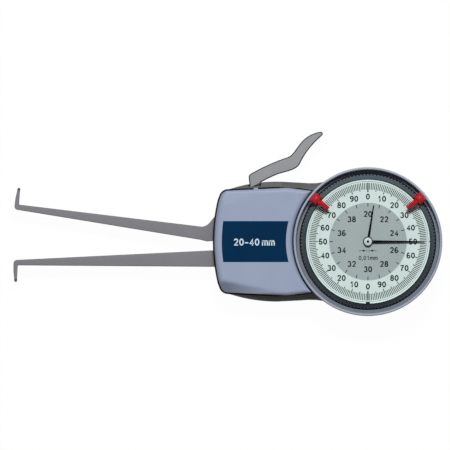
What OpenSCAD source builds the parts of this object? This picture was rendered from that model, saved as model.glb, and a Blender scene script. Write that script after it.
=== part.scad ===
// Inside caliper gauge with a dial: a spring opens the measuring arm, a thumb lever closes it,
// and a gear train turns the hands. It lies on its back with the dial up.
// The arms point along -X, Y runs across the body, and the origin is on the dial axis
// at the back face. Sizes are in millimetres, angles in degrees.

/* [Measuring arms] */
// Distance over the two tips with the arms fully open
span_open = 40.5; // [39:0.5:41.5]
// Distance from the front of the housing to the tips
measuring_depth = 85.2; // [80:0.2:92]
// Swing of the moving arm from open to closed
arm_swing = 12.6; // [10:0.1:12.6]
// Thickness of both arms at the housing
arm_thick = 4; // [3.2:0.1:4.2]
// Thickness of both arms at the hooks
hook_thick = 2.2; // [1.8:0.1:3]
// Width of an arm beside its hook
arm_tip_w = 2.35; // [2:0.05:2.8]
// How far a hook stands out from its arm
hook_h = 7.15; // [6:0.05:8]
// Radius of the hard ball at each tip
ball_r = 0.75; // [0.6:0.05:0.8]

/* [Housing] */
// Distance from the dial axis to the front of the housing
front_reach = 66.4; // [66:0.1:67]
// Half width of the rear shell at its widest
shell_half_w = 25.9; // [25.5:0.1:26.5]
// Height of the rear shell
shell_h = 14; // [14:0.1:14.4]
// Height of the flat top of the front cover
cover_top = 20.7; // [20.4:0.1:21]
// Wall thickness of the shells
wall = 2; // [1.6:0.1:2.2]
// Radius of the dial case
case_r = 32; // [31:0.1:34]

/* [Dial] */
// Width of the rim of the dial case outside the bezel
rim_w = 2.55; // [2.3:0.05:2.8]
// Width of the bezel, from its knurl to the dial
bezel_w = 2.85; // [2.6:0.05:3]
// Number of knurls round the bezel
knurls = 120; // [90:10:150]
// Gap between the end of the long hand and the bezel
hand_gap = 2.2; // [1.6:0.2:4]
// Length of the short hand, as a share of the dial's radius
short_hand_share = 0.594; // [0.45:0.01:0.65]
// Angle of each red marker above the X axis
marker_angle = 39.2; // [30:0.2:50]

/* [Gear train] */
// Module of the driving wheels and pinions
train_module = 0.5; // [0.48:0.01:0.52]
// Module of the wheels behind the dial
motion_module = 0.3; // [0.28:0.01:0.31]
// Pressure angle of every tooth
pressure = 25; // [24:0.5:26]
// Play between meshing teeth, taken off each tooth
backlash = 0.06; // [0.05:0.01:0.08]

/* [Hidden] */
$fn = 48;
eps = 0.01;
front_x = -front_reach;
tip_x = front_x - measuring_depth;
bezel_r = case_r - rim_w;
dial_r = bezel_r - bezel_w;
long_hand_l = dial_r - hand_gap;
short_hand_l = dial_r * short_hand_share;

// Heights of the layers, from the back face up
floor_h = 2.2;
plate_top = floor_h + 2;
arm_mid = 9;
arm_low = arm_mid - arm_thick / 2;
arm_high = arm_mid + arm_thick / 2;
sector_h = 1.2;
gasket_h = 0.6;
cover_low = shell_h + gasket_h;
bridge_low = cover_low + 0.4;
bridge_top = bridge_low + 1.5;
flange_top = cover_low + 1.6;
dial_low = flange_top + 4.1;
dial_top = dial_low + 0.6;
short_hand_low = dial_top + 0.3;
long_hand_low = dial_top + 1;
hand_h = 0.25;
cap_low = long_hand_low + hand_h;
crystal_low = dial_top + 2.1;
crystal_top = crystal_low + 1.5;
bezel_top = crystal_top + 1.4;

// Axes of the arm and of the lever, seen from the dial
arm_axis = [-55, 6];
lever_axis = [-49.5, 19.5];
axle_r = 2;
lever_pin_r = 1.3;
run = 0.03;
link = lever_axis - arm_axis;
link_angle = atan2(link[1], link[0]);
link_r = norm(link) / 2;
horn_angle = link_angle - arm_swing / 2;
finger_angle = link_angle + 180 + arm_swing / 2;
finger_r = 1.5;
horn_half_w = 3.75;

// Gear train: sector, two reducing wheels and the centre pinion
sector_teeth = 144;
first_leaves = 12;
wheel_teeth = 40;
leaves = 8;
sector_r = sector_teeth * train_module / 2;
first_r = first_leaves * train_module / 2;
mesh = (wheel_teeth + leaves) * train_module / 2;
mesh_angle = atan2(-arm_axis[1], -arm_axis[0]);
first_axis = arm_axis + (sector_r - first_r) * [cos(mesh_angle), sin(mesh_angle)];
half_base = norm(first_axis) / 2;
base_angle = atan2(-first_axis[1], -first_axis[0]);
rise_angle = acos(half_base / mesh);
second_axis = first_axis + mesh * [cos(base_angle + rise_angle), sin(base_angle + rise_angle)];
centre_axis = [0, 0];
first_to_second = base_angle + rise_angle;
second_to_centre = base_angle - rise_angle;
shaft_r = 0.8;
pivot_r = 0.5;
centre_r = 0.7;
bush_r = 1.5;

// Wheels behind the dial that turn the short hand ten times slower
cannon_teeth = 16;
transfer_teeth = 32;
hour_teeth = 40;
motion_mesh = (cannon_teeth + transfer_teeth) * motion_module / 2;
motion_angle = -45;
motion_axis = motion_mesh * [cos(motion_angle), sin(motion_angle)];
tube_r = 1.3;

// Long screws that join the shells, screws under the plate, and pillars of the movement
case_screw_at = [[-60.2, 17.2], [-60.2, -17.2], [-31, 19.5], [-31, -19.5]];
plate_screw_at = [[-48, -17], [-38, 17.5], [dial_r - 8.6, 0]];
pillar_out = dial_r - 6.4;
pillar_at = [for (a = [45, 98, 253, 315]) pillar_out * [cos(a), sin(a)]];
arm_screw_at = [[-60, -7.2], [-49, -7.2]];
boss_r = 2.3;

// Measuring spring, hooked between a post on the sector and a post on the plate
post_at = [-39, 1];
anchor_at = [-39, -18.3];
post_r = 1;
wire_r = 0.3;
coil_r = 1.5;
coil_pitch = 1.15;
coil_turns = 9;
coil_z = 8;
hook_r = post_r + wire_r + 0.05;

// Outline of the housing
front_r = 78;
corner_at = [-60.1, 18.6];
corner_r = 3.7;
side_r = 66;
side_x = -39;
waist = [-26, shell_half_w - 0.5];
cover_inset = 0.4;
cover_peak = [-34.6, 23.3];
cover_end = [-24, 21.65];
dial_gap = 0.5;

function arc(c, r, a0, a1, n) =
    [for (i = [0 : n]) let (a = a0 + (a1 - a0) * i / n) c + r * [cos(a), sin(a)]];
function mirrored(points) = [for (i = [len(points) - 1 : -1 : 0]) [points[i][0], -points[i][1]]];
function closed_by_mirror(points) = concat(points, mirrored(points));
function bezier(a, b, c, d, n) = [for (i = [0 : n]) let (t = i / n, s = 1 - t)
    s * s * s * a + 3 * s * s * t * b + 3 * s * t * t * c + t * t * t * d];

// Half outline of the front end, from its middle round the corner
function front_half(d) = let (corner = corner_r - d) concat(
    [for (y = [0, 5, 10, 15, 18]) [front_x + front_r - sqrt(pow(front_r - d, 2) - y * y), y]],
    arc(corner_at, corner, 165, 100, 5));
// Rear shell seen from the dial, inset by d
function shell_half(d) = concat(front_half(d),
    arc([side_x, shell_half_w - side_r], side_r - d, 107, 90, 6),
    [waist - [0, d], [0, waist[1] - 0.4 - d]]);
// Front cover seen from the dial, inset by d
function cover_half(d) = concat(front_half(cover_inset + d),
    [cover_peak - [0, d], cover_end - [0, d], [-16, 20.2 - d]]);
function shell_outline(d) = closed_by_mirror(shell_half(d));
function cover_outline(d) = closed_by_mirror(cover_half(d));

// Teeth: half angle of a tooth at radius r, and the points of one tooth
function inv(a) = tan(a) * 180 / PI - a;
function tooth_half(r, z, m, play) = let (pitch = m * z / 2, base = pitch * cos(pressure))
    90 / z - play / 2 / pitch * 180 / PI + inv(pressure) - inv(acos(min(1, base / r)));
function flank_radii(z, m, root, tip) = let (base = m * z / 2 * cos(pressure))
    root < base ? [root, base, (base + tip) / 2, tip]
    : [root, root + (tip - root) / 3, root + 2 * (tip - root) / 3, tip];
function tooth(centre, z, m, root, tip, play) = let (radii = flank_radii(z, m, root, tip)) concat(
    [for (r = radii) let (a = centre - tooth_half(r, z, m, play)) r * [cos(a), sin(a)]],
    [for (i = [3 : -1 : 0]) let (a = centre + tooth_half(radii[i], z, m, play))
        radii[i] * [cos(a), sin(a)]]);
function teeth(z, m, above, below, start) = [for (i = [0 : z - 1])
    each tooth(start + 360 * i / z, z, m, m * (z / 2 - below), m * (z / 2 + above), backlash)];

// A tube of radius r swept along a path
function unit(v) = v / norm(v);
function tangents(path) = [for (i = [0 : len(path) - 1])
    unit(path[min(i + 1, len(path) - 1)] - path[max(i - 1, 0)])];
function across(n, t) = unit(n - (n * t) * t);
function normals(t) = [for (i = 0, n = across([0.3, 0.2, 1], t[0]); i < len(t);
    i = i + 1, n = i < len(t) ? across(n, t[i]) : n) n];
module tube(path, r, sides) {
    t = tangents(path);
    n = normals(t);
    rings = len(path);
    points = [for (i = [0 : rings - 1]) for (k = [0 : sides - 1])
        path[i] + r * (cos(360 * k / sides) * n[i] + sin(360 * k / sides) * cross(t[i], n[i]))];
    walls = [for (i = [0 : rings - 2]) for (k = [0 : sides - 1]) let (k2 = (k + 1) % sides,
        low = i * sides, high = low + sides)
        each [[low + k, high + k, high + k2], [low + k, high + k2, low + k2]]];
    start = [[for (k = [0 : sides - 1]) k]];
    end = [[for (k = [sides - 1 : -1 : 0]) (rings - 1) * sides + k]];
    polyhedron(points, concat(start, walls, end));
}

module slab(points, low, high) translate([0, 0, low]) linear_extrude(high - low) polygon(points);
module rod(at, r, low, high) translate([at[0], at[1], low]) cylinder(r = r, h = high - low);
module pipe(at, outer, inner, low, high) difference() {
    rod(at, outer, low, high);
    rod(at, inner, low - 1, high + 1);
}
module ring(profile) rotate_extrude($fn = 96) polygon(profile);
module wheel(at, z, m, above, below, start, low, high) translate([at[0], at[1], low])
    linear_extrude(high - low) polygon(teeth(z, m, above, below, start));

// A screw from its head up along +Z, with a slot across the head
module slotted_screw(at, head_r, head_h, shank_r, low, high) difference() {
    union() {
        rod(at, head_r, low, low + head_h);
        rod(at, shank_r, low + head_h - eps, high);
    }
    translate([at[0] - head_r - 1, at[1] - 0.3, low - 1]) cube([2 * head_r + 2, 0.6, 1.5]);
}
// The same screw turned over, its head on top
module top_screw(at, head_r, head_h, shank_r, low, high) difference() {
    union() {
        rod(at, head_r, high - head_h, high);
        rod(at, shank_r, low, high - head_h + eps);
    }
    translate([at[0] - head_r - 1, at[1] - 0.3, high - 0.5]) cube([2 * head_r + 2, 0.6, 2]);
}

// Hook end of an arm: the outer edge lies on X, the hook stands up along Y
hook_w = 1.8;
hook_end_w = 1.45;
ball_at = [-0.8, hook_h - ball_r];
hook_line = concat(
    arc([0.8, 0.8], 0.8, 270, 180, 4),
    [[-0.08, ball_at[1]], [-hook_end_w, ball_at[1]], [-hook_w, hook_h / 3]],
    arc([1.5 - hook_w, 1.5 - arm_tip_w], 1.5, 180, 265, 5));
function turned(points, at, turn, side) = [for (p = points)
    at + [p[0] * cos(turn) - side * p[1] * sin(turn), p[0] * sin(turn) + side * p[1] * cos(turn)]];
// Side view of the arms: thick at the housing, thin at the hooks
module arm_side() rotate([90, 0, 0]) linear_extrude(120, center = true) polygon([
    [tip_x - 3, arm_mid - hook_thick / 2], [front_x - 8, arm_low], [0, arm_low],
    [0, arm_high], [front_x - 8, arm_high], [tip_x - 3, arm_mid + hook_thick / 2]]);

// Where the hooks sit: the outer corner of each blade and the turn of its outer edge
fixed_turn = -0.47;
fixed_at = [tip_x + 0.8, hook_h - 17.4];
moving_turn = -6.87;
moving_at = [tip_x + 1.75, span_open - 24.6];
module at_fixed() translate([fixed_at[0], fixed_at[1], 0]) rotate(fixed_turn) mirror([0, 1, 0])
    children();
module at_moving() translate([moving_at[0], moving_at[1], 0]) rotate(moving_turn) children();
module hook_ball(r) translate([ball_at[0], ball_at[1], arm_mid]) sphere(r);

// Openings in the shell: one window for both arms, one slot for the lever
window_low = -11.6;
window_high = 13.6;
window_z = [6.1, 11.9];
lever_slot = [-52.6, -37.4];
lever_notch = [-52.4, -46.6];
lever_z = [5.5, 12.5];
shell_round_r = case_r - 0.4;
cup_r = shell_round_r - wall;

module shell_layer(z, d) translate([0, 0, z]) linear_extrude(eps) polygon(shell_outline(d));
module rear_shell() color("dimgray") difference() {
    union() {
        difference() {
            union() {
                hull() {
                    shell_layer(0, 3.2);
                    shell_layer(1, 1.3);
                    shell_layer(3.2, 0.25);
                    shell_layer(7, 0);
                    shell_layer(shell_h - 2, 0.1);
                    shell_layer(shell_h - 0.7, 0.4);
                    shell_layer(shell_h - eps, 1);
                }
                ring([[0, 0], [shell_round_r - 3, 0], [shell_round_r - 1.2, 0.8],
                    [shell_round_r, 3.2], [shell_round_r, shell_h], [0, shell_h]]);
            }
            slab(shell_outline(wall + 0.4), floor_h, shell_h + 1);
            rod([0, 0], cup_r, floor_h, shell_h + 1);
        }
        for (at = case_screw_at) rod(at, boss_r, floor_h - eps, shell_h);
    }
    translate([front_x - 2, window_low, window_z[0]])
        cube([6, window_high - window_low, window_z[1] - window_z[0]]);
    translate([lever_slot[0], 18, lever_z[0] - 0.5])
        cube([lever_slot[1] - lever_slot[0], 12, lever_z[1] - lever_z[0] + 1]);
    translate([lever_notch[0], 21.5, lever_z[0] - 0.5])
        cube([lever_notch[1] - lever_notch[0], 8, shell_h]);
    for (at = case_screw_at) {
        rod(at, 1.12, -1, shell_h + 1);
        rod(at, 2.05, -1, 1.6);
    }
    for (at = plate_screw_at) {
        rod(at, 1, -1, floor_h + 1);
        rod(at, 1.9, -1, 1.3);
    }
}
module case_screws() color("silver") for (at = case_screw_at)
    slotted_screw(at, 1.95, 1.3, 1, 0.3, cover_low + 3);
module chassis_screws() color("silver") for (at = plate_screw_at)
    slotted_screw(at, 1.8, 1, 0.9, 0.3, plate_top);

// Metal plate on the floor of the shell that carries the arms, the lever and the movement
pad_low = [-62.2, -11.4];
pad_size = [17.8, 8.6];
module chassis() color("lightgray") difference() {
    union() {
        slab([[-62.4, -12.3], [-57, -13.5], [-56, -20.8], [-35, -20.8], [-33.5, -16], [-14, -16],
            [-14, 16], [-33.5, 16], [-35, 21.5], [-55, 21.5], [-57, 13.5], [-62.4, 12.3]],
            floor_h, plate_top);
        rod([0, 0], dial_r - 2.6, floor_h, plate_top);
        rod(first_axis, bush_r + 2, floor_h, plate_top);
        translate([pad_low[0], pad_low[1], plate_top - eps])
            cube([pad_size[0], pad_size[1], arm_low - plate_top + eps]);
        rod(arm_axis, 4, plate_top - eps, arm_low - 0.1);
        rod(lever_axis, 2.6, plate_top - eps, lever_z[0] - 0.1);
    }
    rod(arm_axis, axle_r, floor_h - 1, arm_low + 1);
    rod(lever_axis, lever_pin_r, floor_h - 1, arm_low + 1);
    for (at = arm_screw_at) rod(at, 1.2, plate_top - 1, arm_low + 1);
    for (at = plate_screw_at) rod(at, 0.9, floor_h - 1, plate_top + 1);
    for (at = [first_axis, second_axis, centre_axis]) rod(at, bush_r, floor_h - 1, plate_top + 1);
}

fixed_edges = [-10.88, -3.76];
fixed_end = -44.6;
module fixed_arm() color("gray") difference() {
    intersection() {
        slab(concat(turned(hook_line, fixed_at, fixed_turn, -1),
            [[front_x, fixed_edges[1]], [fixed_end, fixed_edges[1]], [fixed_end, fixed_edges[0]],
            [front_x, fixed_edges[0]]]), arm_low, arm_high);
        arm_side();
    }
    at_fixed() hook_ball(ball_r);
    for (at = arm_screw_at) rod(at, 1.3, arm_low - 1, arm_high + 1);
}
module fixed_tip() color("dimgray") at_fixed() hook_ball(ball_r - eps);
module fixed_arm_screws() color("silver") for (at = arm_screw_at)
    top_screw(at, 2.2, 1.5, 1.18, plate_top - 1, arm_high + 1.5);

// Rubber frame that closes the window round both arms
module arm_seal() color("black") difference() {
    translate([-65.2, window_low + 0.1, window_z[0] + 0.05])
        cube([1.2, window_high - window_low - 0.2, window_z[1] - window_z[0] - 0.1]);
    translate([-67, -10.96, arm_low - 0.1]) cube([4, 7.3, arm_thick + 0.2]);
    translate([-67, -2.9, arm_low - 0.4]) cube([4, 15.9, arm_thick + 0.8]);
}

clip_h = 0.6;
axle_top = arm_high + sector_h + 0.2;
module arm_axle() color("silver") difference() {
    rod(arm_axis, axle_r - run, floor_h, axle_top + clip_h + 0.5);
    pipe(arm_axis, axle_r + 1, axle_r - 0.4, axle_top, axle_top + clip_h);
}
module axle_clip() color("dimgray") pipe(arm_axis, 3.4, axle_r - 0.4, axle_top, axle_top + clip_h);
lever_top = lever_z[1] + 0.1;
module lever_pin() color("silver") difference() {
    rod(lever_axis, lever_pin_r - run, floor_h, lever_top + clip_h + 0.4);
    pipe(lever_axis, lever_pin_r + 1, lever_pin_r - 0.3, lever_top, lever_top + clip_h);
}
module lever_clip() color("dimgray")
    pipe(lever_axis, 2.4, lever_pin_r - 0.3, lever_top, lever_top + clip_h);

// Pins that stop the horn of the arm at each end of its swing
stop_r = 1.2;
stop_out = horn_half_w + stop_r + 0.06;
function beside_horn(a, side) = arm_axis + 7.6 * [cos(a), sin(a)]
    + side * stop_out * [-sin(a), cos(a)];
module travel_stops() color("silver") {
    rod(beside_horn(horn_angle, -1), stop_r, plate_top, arm_high);
    rod(beside_horn(horn_angle + arm_swing, 1), stop_r, plate_top, arm_high);
}

module post(at, low, high) rod(at, post_r, low, high);
module spring_anchor() color("silver") post(anchor_at, plate_top, coil_z + 1.4);
coil_start = (post_at[1] + anchor_at[1]) / 2 + coil_pitch * coil_turns / 2;
spring_path = concat(
    [for (a = [20 : 25 : 245]) [post_at[0], post_at[1], coil_z] + hook_r * [cos(a), sin(a), 0]],
    [[post_at[0] + 0.2, post_at[1] - hook_r - 0.9, coil_z]],
    [for (i = [0 : coil_turns * 10]) let (a = 36 * i) [post_at[0] + coil_r * cos(a),
        coil_start - coil_pitch * i / 10, coil_z + coil_r * sin(a)]],
    [[anchor_at[0] + 0.2, anchor_at[1] + hook_r + 0.9, coil_z]],
    [for (a = [115 : 25 : 340]) [anchor_at[0], anchor_at[1], coil_z]
        + hook_r * [cos(a), sin(a), 0]]);
module measuring_spring() color("silver") tube(spring_path, wire_r, 6);

// Brass bushes of the three arbors, in the plate below and in the bridge above
module lower_bushes() color("goldenrod") for (at = [first_axis, second_axis, centre_axis])
    pipe(at, bush_r, pivot_r + run, floor_h, plate_top);
module upper_bushes() color("goldenrod") {
    for (at = [first_axis, second_axis]) pipe(at, bush_r, pivot_r + run, bridge_low, bridge_top);
    pipe(centre_axis, bush_r, centre_r + run, bridge_low, bridge_top);
}
module bridge_pillars() color("silver") for (at = pillar_at)
    difference() {
        rod(at, 1.8, plate_top, bridge_low);
        rod(at, 0.72, bridge_low - 5, bridge_low + 1);
    }
module movement_bridge() color("lightgray") difference() {
    union() {
        rod([0, 0], dial_r - 1.6, bridge_low, bridge_top);
        rod(first_axis, bush_r + 1, bridge_low, bridge_top);
    }
    for (at = [first_axis, second_axis, centre_axis]) rod(at, bush_r, bridge_low - 1, bridge_top + 1);
    for (at = pillar_at) rod(at, 0.8, bridge_low - 1, bridge_top + 1);
    rod(motion_axis, pivot_r, bridge_low - 1, bridge_top + 1);
}
module bridge_screws() color("silver") for (at = pillar_at)
    top_screw(at, 1.6, 1.1, 0.7, bridge_low - 4.5, bridge_top + 1.1);

// Flat spiral that takes up the play of the train
spiral_in = 1.65;
spiral_out = 5.5;
spiral_turns = 4;
spiral_w = 0.2;
collet_z = [plate_top + 1.2, plate_top + 2.4];
function spiral(r_off) = [for (i = [0 : spiral_turns * 20]) let (a = 18 * i,
    r = spiral_in + (spiral_out - spiral_in) * i / (spiral_turns * 20) + r_off)
    first_axis + r * [cos(a), sin(a)]];
spiral_line = spiral(spiral_w);
module hairspring() color("steelblue") slab(concat(spiral(0),
    [for (i = [len(spiral_line) - 1 : -1 : 0]) spiral_line[i]]), collet_z[0] + 0.2, collet_z[1] - 0.2);
module hairspring_stud() color("silver")
    rod(first_axis + [spiral_out + spiral_w + 0.55, 0], 0.5, plate_top, collet_z[1]);
module hairspring_collet() color("goldenrod")
    pipe(first_axis, spiral_in - 0.1, shaft_r, collet_z[0], collet_z[1]);
module motion_stud() color("silver") rod(motion_axis, pivot_r - run, bridge_low, dial_low - 0.5);

// Rubber seal between the rear shell and what sits on it
module case_gasket() color("black") difference() {
    union() {
        slab(shell_outline(0.9), shell_h, cover_low);
        rod([0, 0], shell_round_r - 0.3, shell_h, cover_low);
    }
    slab(shell_outline(wall + 0.1), shell_h - 1, cover_low + 1);
    rod([0, 0], cup_r + 0.2, shell_h - 1, cover_low + 1);
    translate([lever_notch[0], 21.5, shell_h - 1]) cube([lever_notch[1] - lever_notch[0], 8, 3]);
}

// Long bevels along both sides of the cover: a line on its top and the fall beyond it
bevel_fall = 16;
bevel_top = [[-63, 15.2], [-34.6, 22.1]];
bevel_bottom = [[-63, -16.6], [-34.6, -22.1]];
module bevel(line, side) {
    way = line[1] - line[0];
    translate([line[0][0], line[0][1], cover_top]) rotate(atan2(way[1], way[0]))
        rotate([-side * bevel_fall, 0, 0]) translate([-20, side > 0 ? 0 : -20, 0]) cube([80, 20, 8]);
}
panel_half_h = 8.7;
panel_left_r = 67;
panel_left = -62.6;
panel_right_r = case_r + 3.4;
panel_corner = asin(panel_half_h / panel_right_r);
panel_left_corner = asin(panel_half_h / panel_left_r);
panel_outline = concat(
    arc([panel_left + panel_left_r, 0], panel_left_r, 180 + panel_left_corner,
        180 - panel_left_corner, 4),
    arc([0, 0], panel_right_r, 180 - panel_corner, 180 + panel_corner, 6));
panel_deep = 0.5;
module cover_layer(z, d) translate([0, 0, z]) linear_extrude(eps) polygon(cover_outline(d));
module front_cover() color("lightsteelblue") difference() {
    hull() {
        cover_layer(cover_low, 0);
        cover_layer(cover_top - 2.2, 0.1);
        cover_layer(cover_top - 1, 0.7);
        cover_layer(cover_top - 0.3, 1.7);
        cover_layer(cover_top - eps, 2.9);
    }
    difference() {
        slab(cover_outline(wall + 0.3), cover_low - 1, cover_top - wall);
        rod([0, 0], case_r + dial_gap + wall, cover_low - 1, cover_top);
        for (at = case_screw_at) rod(at, boss_r, cover_low, cover_top);
    }
    rod([0, 0], case_r + dial_gap, cover_low - 1, cover_top + 1);
    bevel(bevel_top, 1);
    bevel(bevel_bottom, -1);
    slab(panel_outline, cover_top - panel_deep, cover_top + 1);
    for (at = case_screw_at) rod(at, 1.02, cover_low - 1, cover_low + 3.4);
}
module label_plate() color("midnightblue") slab(panel_outline, cover_top - panel_deep, cover_top);

// Case of the dial: a cup ring whose rim slopes down to the bezel
case_bore = bezel_r + 0.3;
case_in = dial_r + 0.4;
case_top = flange_top + 5.4;
case_slope_low = case_top - 2;
module dial_case() color("lightsteelblue") ring([
    [case_in, cover_low], [case_r, cover_low], [case_r, case_top - 0.8], [case_r - 0.25, case_top - 0.2],
    [case_r - 0.8, case_top], [case_r - 1.25, case_top], [case_r - 1.35, case_top - 0.45],
    [case_r - 1.6, case_top - 0.45], [case_r - 1.7, case_top - 0.15], [case_bore, case_slope_low],
    [case_bore, flange_top], [case_in, flange_top]]);

// Inner end of the moving arm: the neck, the hub, the forked horn and the crank of the outer edge
hub_r = 5.8;
horn_out = link_r + 1.3;
fork_in = link_r - finger_r - 0.3;
fork_half_w = finger_r + 0.08;
horn_side = asin(horn_half_w / hub_r);
horn_line = [[horn_out, -horn_half_w], [horn_out, -fork_half_w], [fork_in, -fork_half_w],
    [fork_in, fork_half_w], [horn_out, fork_half_w], [horn_out, horn_half_w],
    [hub_r * cos(horn_side), horn_half_w]];
moving_root = concat(
    [[-72.2, 0.78], [-69.2, 0.05], [-67, 0.2]],
    arc(arm_axis, hub_r, 262, 360 + horn_angle - horn_side, 10),
    turned(horn_line, arm_axis, horn_angle, 1),
    [arm_axis + [-4, 6], [-64.2, 12.2], [-65.7, 11.1]],
    arc([-71.9, 11.4], 5, 317, 276, 4));
module moving_arm() color("gray") difference() {
    intersection() {
        slab(concat(turned(hook_line, moving_at, moving_turn, 1), moving_root), arm_low, arm_high);
        arm_side();
    }
    at_moving() hook_ball(ball_r);
    rod(arm_axis, axle_r + 1, arm_low - 1, arm_high + 1);
    for (a = rivet_angles)
        rod(arm_axis + rivet_out * [cos(a), sin(a)], rivet_r, arm_mid, arm_high + 1);
}
module moving_tip() color("dimgray") at_moving() hook_ball(ball_r - eps);
module arm_bush() color("peru") pipe(arm_axis, axle_r + 1, axle_r + run, arm_low, arm_high);

// Toothed sector: a fan riveted to the arm, its teeth on the inner side of the rim
rivet_angles = [150, 265, 330];
rivet_out = 4.4;
rivet_r = 0.7;
window_in = sector_r - 2 * first_r - 1.2;
window_from = mesh_angle - arm_swing - 7.1;
window_to = mesh_angle + 7.1;
tooth_angle = 360 / sector_teeth;
tooth_in = sector_r - 0.35;
tooth_out = sector_r + 0.55;
sector_rim_w = 3.05;
rim_r = tooth_out + sector_rim_w;
sector_window = concat(
    arc([0, 0], window_in, window_from, window_to, 12),
    [tooth_in * [cos(window_to), sin(window_to)]],
    [for (i = [2 : -1 : -7]) let (points = tooth(mesh_angle + tooth_angle * i, sector_teeth,
        train_module, tooth_in, tooth_out, -backlash)) for (k = [7 : -1 : 0]) points[k]],
    [tooth_in * [cos(window_from), sin(window_from)]]);
sector_fan = concat(
    arc([0, 0], rim_r, window_from - 4.4, window_to + 4.4, 14),
    arc([0, 0], 5.4, window_to + 60, window_from + 300, 10));
module toothed_sector() color("lightgray") translate([arm_axis[0], arm_axis[1], arm_high])
    difference() {
        slab(sector_fan, 0, sector_h);
        slab(sector_window, -1, sector_h + 1);
        rod([0, 0], axle_r + 0.15, -1, sector_h + 1);
        for (a = rivet_angles) rod(rivet_out * [cos(a), sin(a)], rivet_r, -1, sector_h + 1);
        rod(post_at - arm_axis, rivet_r, -1, sector_h + 1);
    }
module sector_rivets() color("goldenrod") for (a = rivet_angles) {
    at = arm_axis + rivet_out * [cos(a), sin(a)];
    rod(at, rivet_r, arm_mid, arm_high + sector_h);
    rod(at, rivet_r + 0.35, arm_high + sector_h, arm_high + sector_h + 0.3);
}
module spring_post() color("silver") {
    post(post_at, coil_z - 1, arm_high);
    rod(post_at, rivet_r, arm_high - eps, arm_high + sector_h);
}

// Thumb lever: a curved steel limb outside, a hub on its pin and a finger in the horn
lever_outline = concat(
    bezier([-51.6, 28.6], [-47.5, 31.4], [-41, 34.6], [-35.5, 36], 8),
    bezier([-35.1, 36.1], [-30.3, 37.3], [-30.3, 45.4], [-20.6, 47.3], 12),
    arc([-20.2, 46.4], 0.9, 60, -50, 5),
    bezier([-20.2, 45.6], [-25, 41], [-27.5, 37], [-29, 33.8], 10),
    bezier([-29.2, 33.4], [-30.8, 30.4], [-36.5, 30], [-39.5, 28.7], 10),
    [[-43, 27.1], [-45.8, 25.6], [-46.7, 24.2], lever_axis + [2.6, 0.4], lever_axis + [-2.4, 1.4],
        [-51.7, 24.6], [-51.95, 27.6]]);
module opening_lever() color("darkgray") difference() {
    union() {
        slab(lever_outline, lever_z[0], lever_z[1]);
        rod(lever_axis, 2.8, lever_z[0], lever_z[1]);
        translate([lever_axis[0], lever_axis[1], arm_low + 0.3]) rotate(finger_angle) {
            translate([0, -0.9, 0]) cube([link_r, 1.8, arm_thick - 0.6]);
            translate([link_r, 0, 0]) cylinder(r = finger_r, h = arm_thick - 0.6);
        }
    }
    rod(lever_axis, lever_pin_r + 0.6, lever_z[0] - 1, lever_z[1] + 1);
}
module lever_bush() color("peru")
    pipe(lever_axis, lever_pin_r + 0.6, lever_pin_r + run, lever_z[0], lever_z[1]);

// Arbors with their pinions, from the first beside the sector to the centre one
wheel_above = 0.7;
wheel_below = 1.15;
leaf_above = 0.88;
leaf_below = 1;
first_wheel_z = [arm_mid - 1.5, arm_mid - 0.5];
second_wheel_z = [bridge_low - 1.8, bridge_low - 0.8];
module arbor(at) {
    rod(at, pivot_r, floor_h + 0.1, bridge_top - 0.1);
    rod(at, shaft_r, plate_top + 0.1, bridge_low - 0.1);
}
module light_wheel(at, z, m, start, low, high, bore) difference() {
    wheel(at, z, m, wheel_above, wheel_below, start, low, high);
    rod(at, bore, low - 1, high + 1);
    for (a = [0 : 72 : 288]) rod(at + 0.3 * m * z * [cos(a), sin(a)], m * z / 9, low - 1, high + 1);
}
module first_pinion() color("silver") union() {
    arbor(first_axis);
    wheel(first_axis, first_leaves, train_module, leaf_above, leaf_below, mesh_angle,
        arm_high - 0.3, arm_high + sector_h + 0.4);
}
module first_wheel() color("gold") light_wheel(first_axis, wheel_teeth, train_module,
    first_to_second, first_wheel_z[0], first_wheel_z[1], shaft_r);
module second_pinion() color("silver") union() {
    arbor(second_axis);
    wheel(second_axis, leaves, train_module, leaf_above, leaf_below,
        first_to_second + 180 + 180 / leaves, first_wheel_z[0] - 0.5, first_wheel_z[1] + 0.5);
}
module second_wheel() color("gold") light_wheel(second_axis, wheel_teeth, train_module,
    second_to_centre, second_wheel_z[0], second_wheel_z[1], shaft_r);
module centre_arbor() color("silver") union() {
    rod(centre_axis, pivot_r, floor_h + 0.1, plate_top + 0.2);
    rod(centre_axis, shaft_r, plate_top + 0.1, second_wheel_z[0]);
    rod(centre_axis, centre_r, second_wheel_z[0], cap_low + 0.35);
    wheel(centre_axis, leaves, train_module, leaf_above, leaf_below,
        second_to_centre + 180 + 180 / leaves, second_wheel_z[0] - 0.5, second_wheel_z[1] + 0.5);
}

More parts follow.
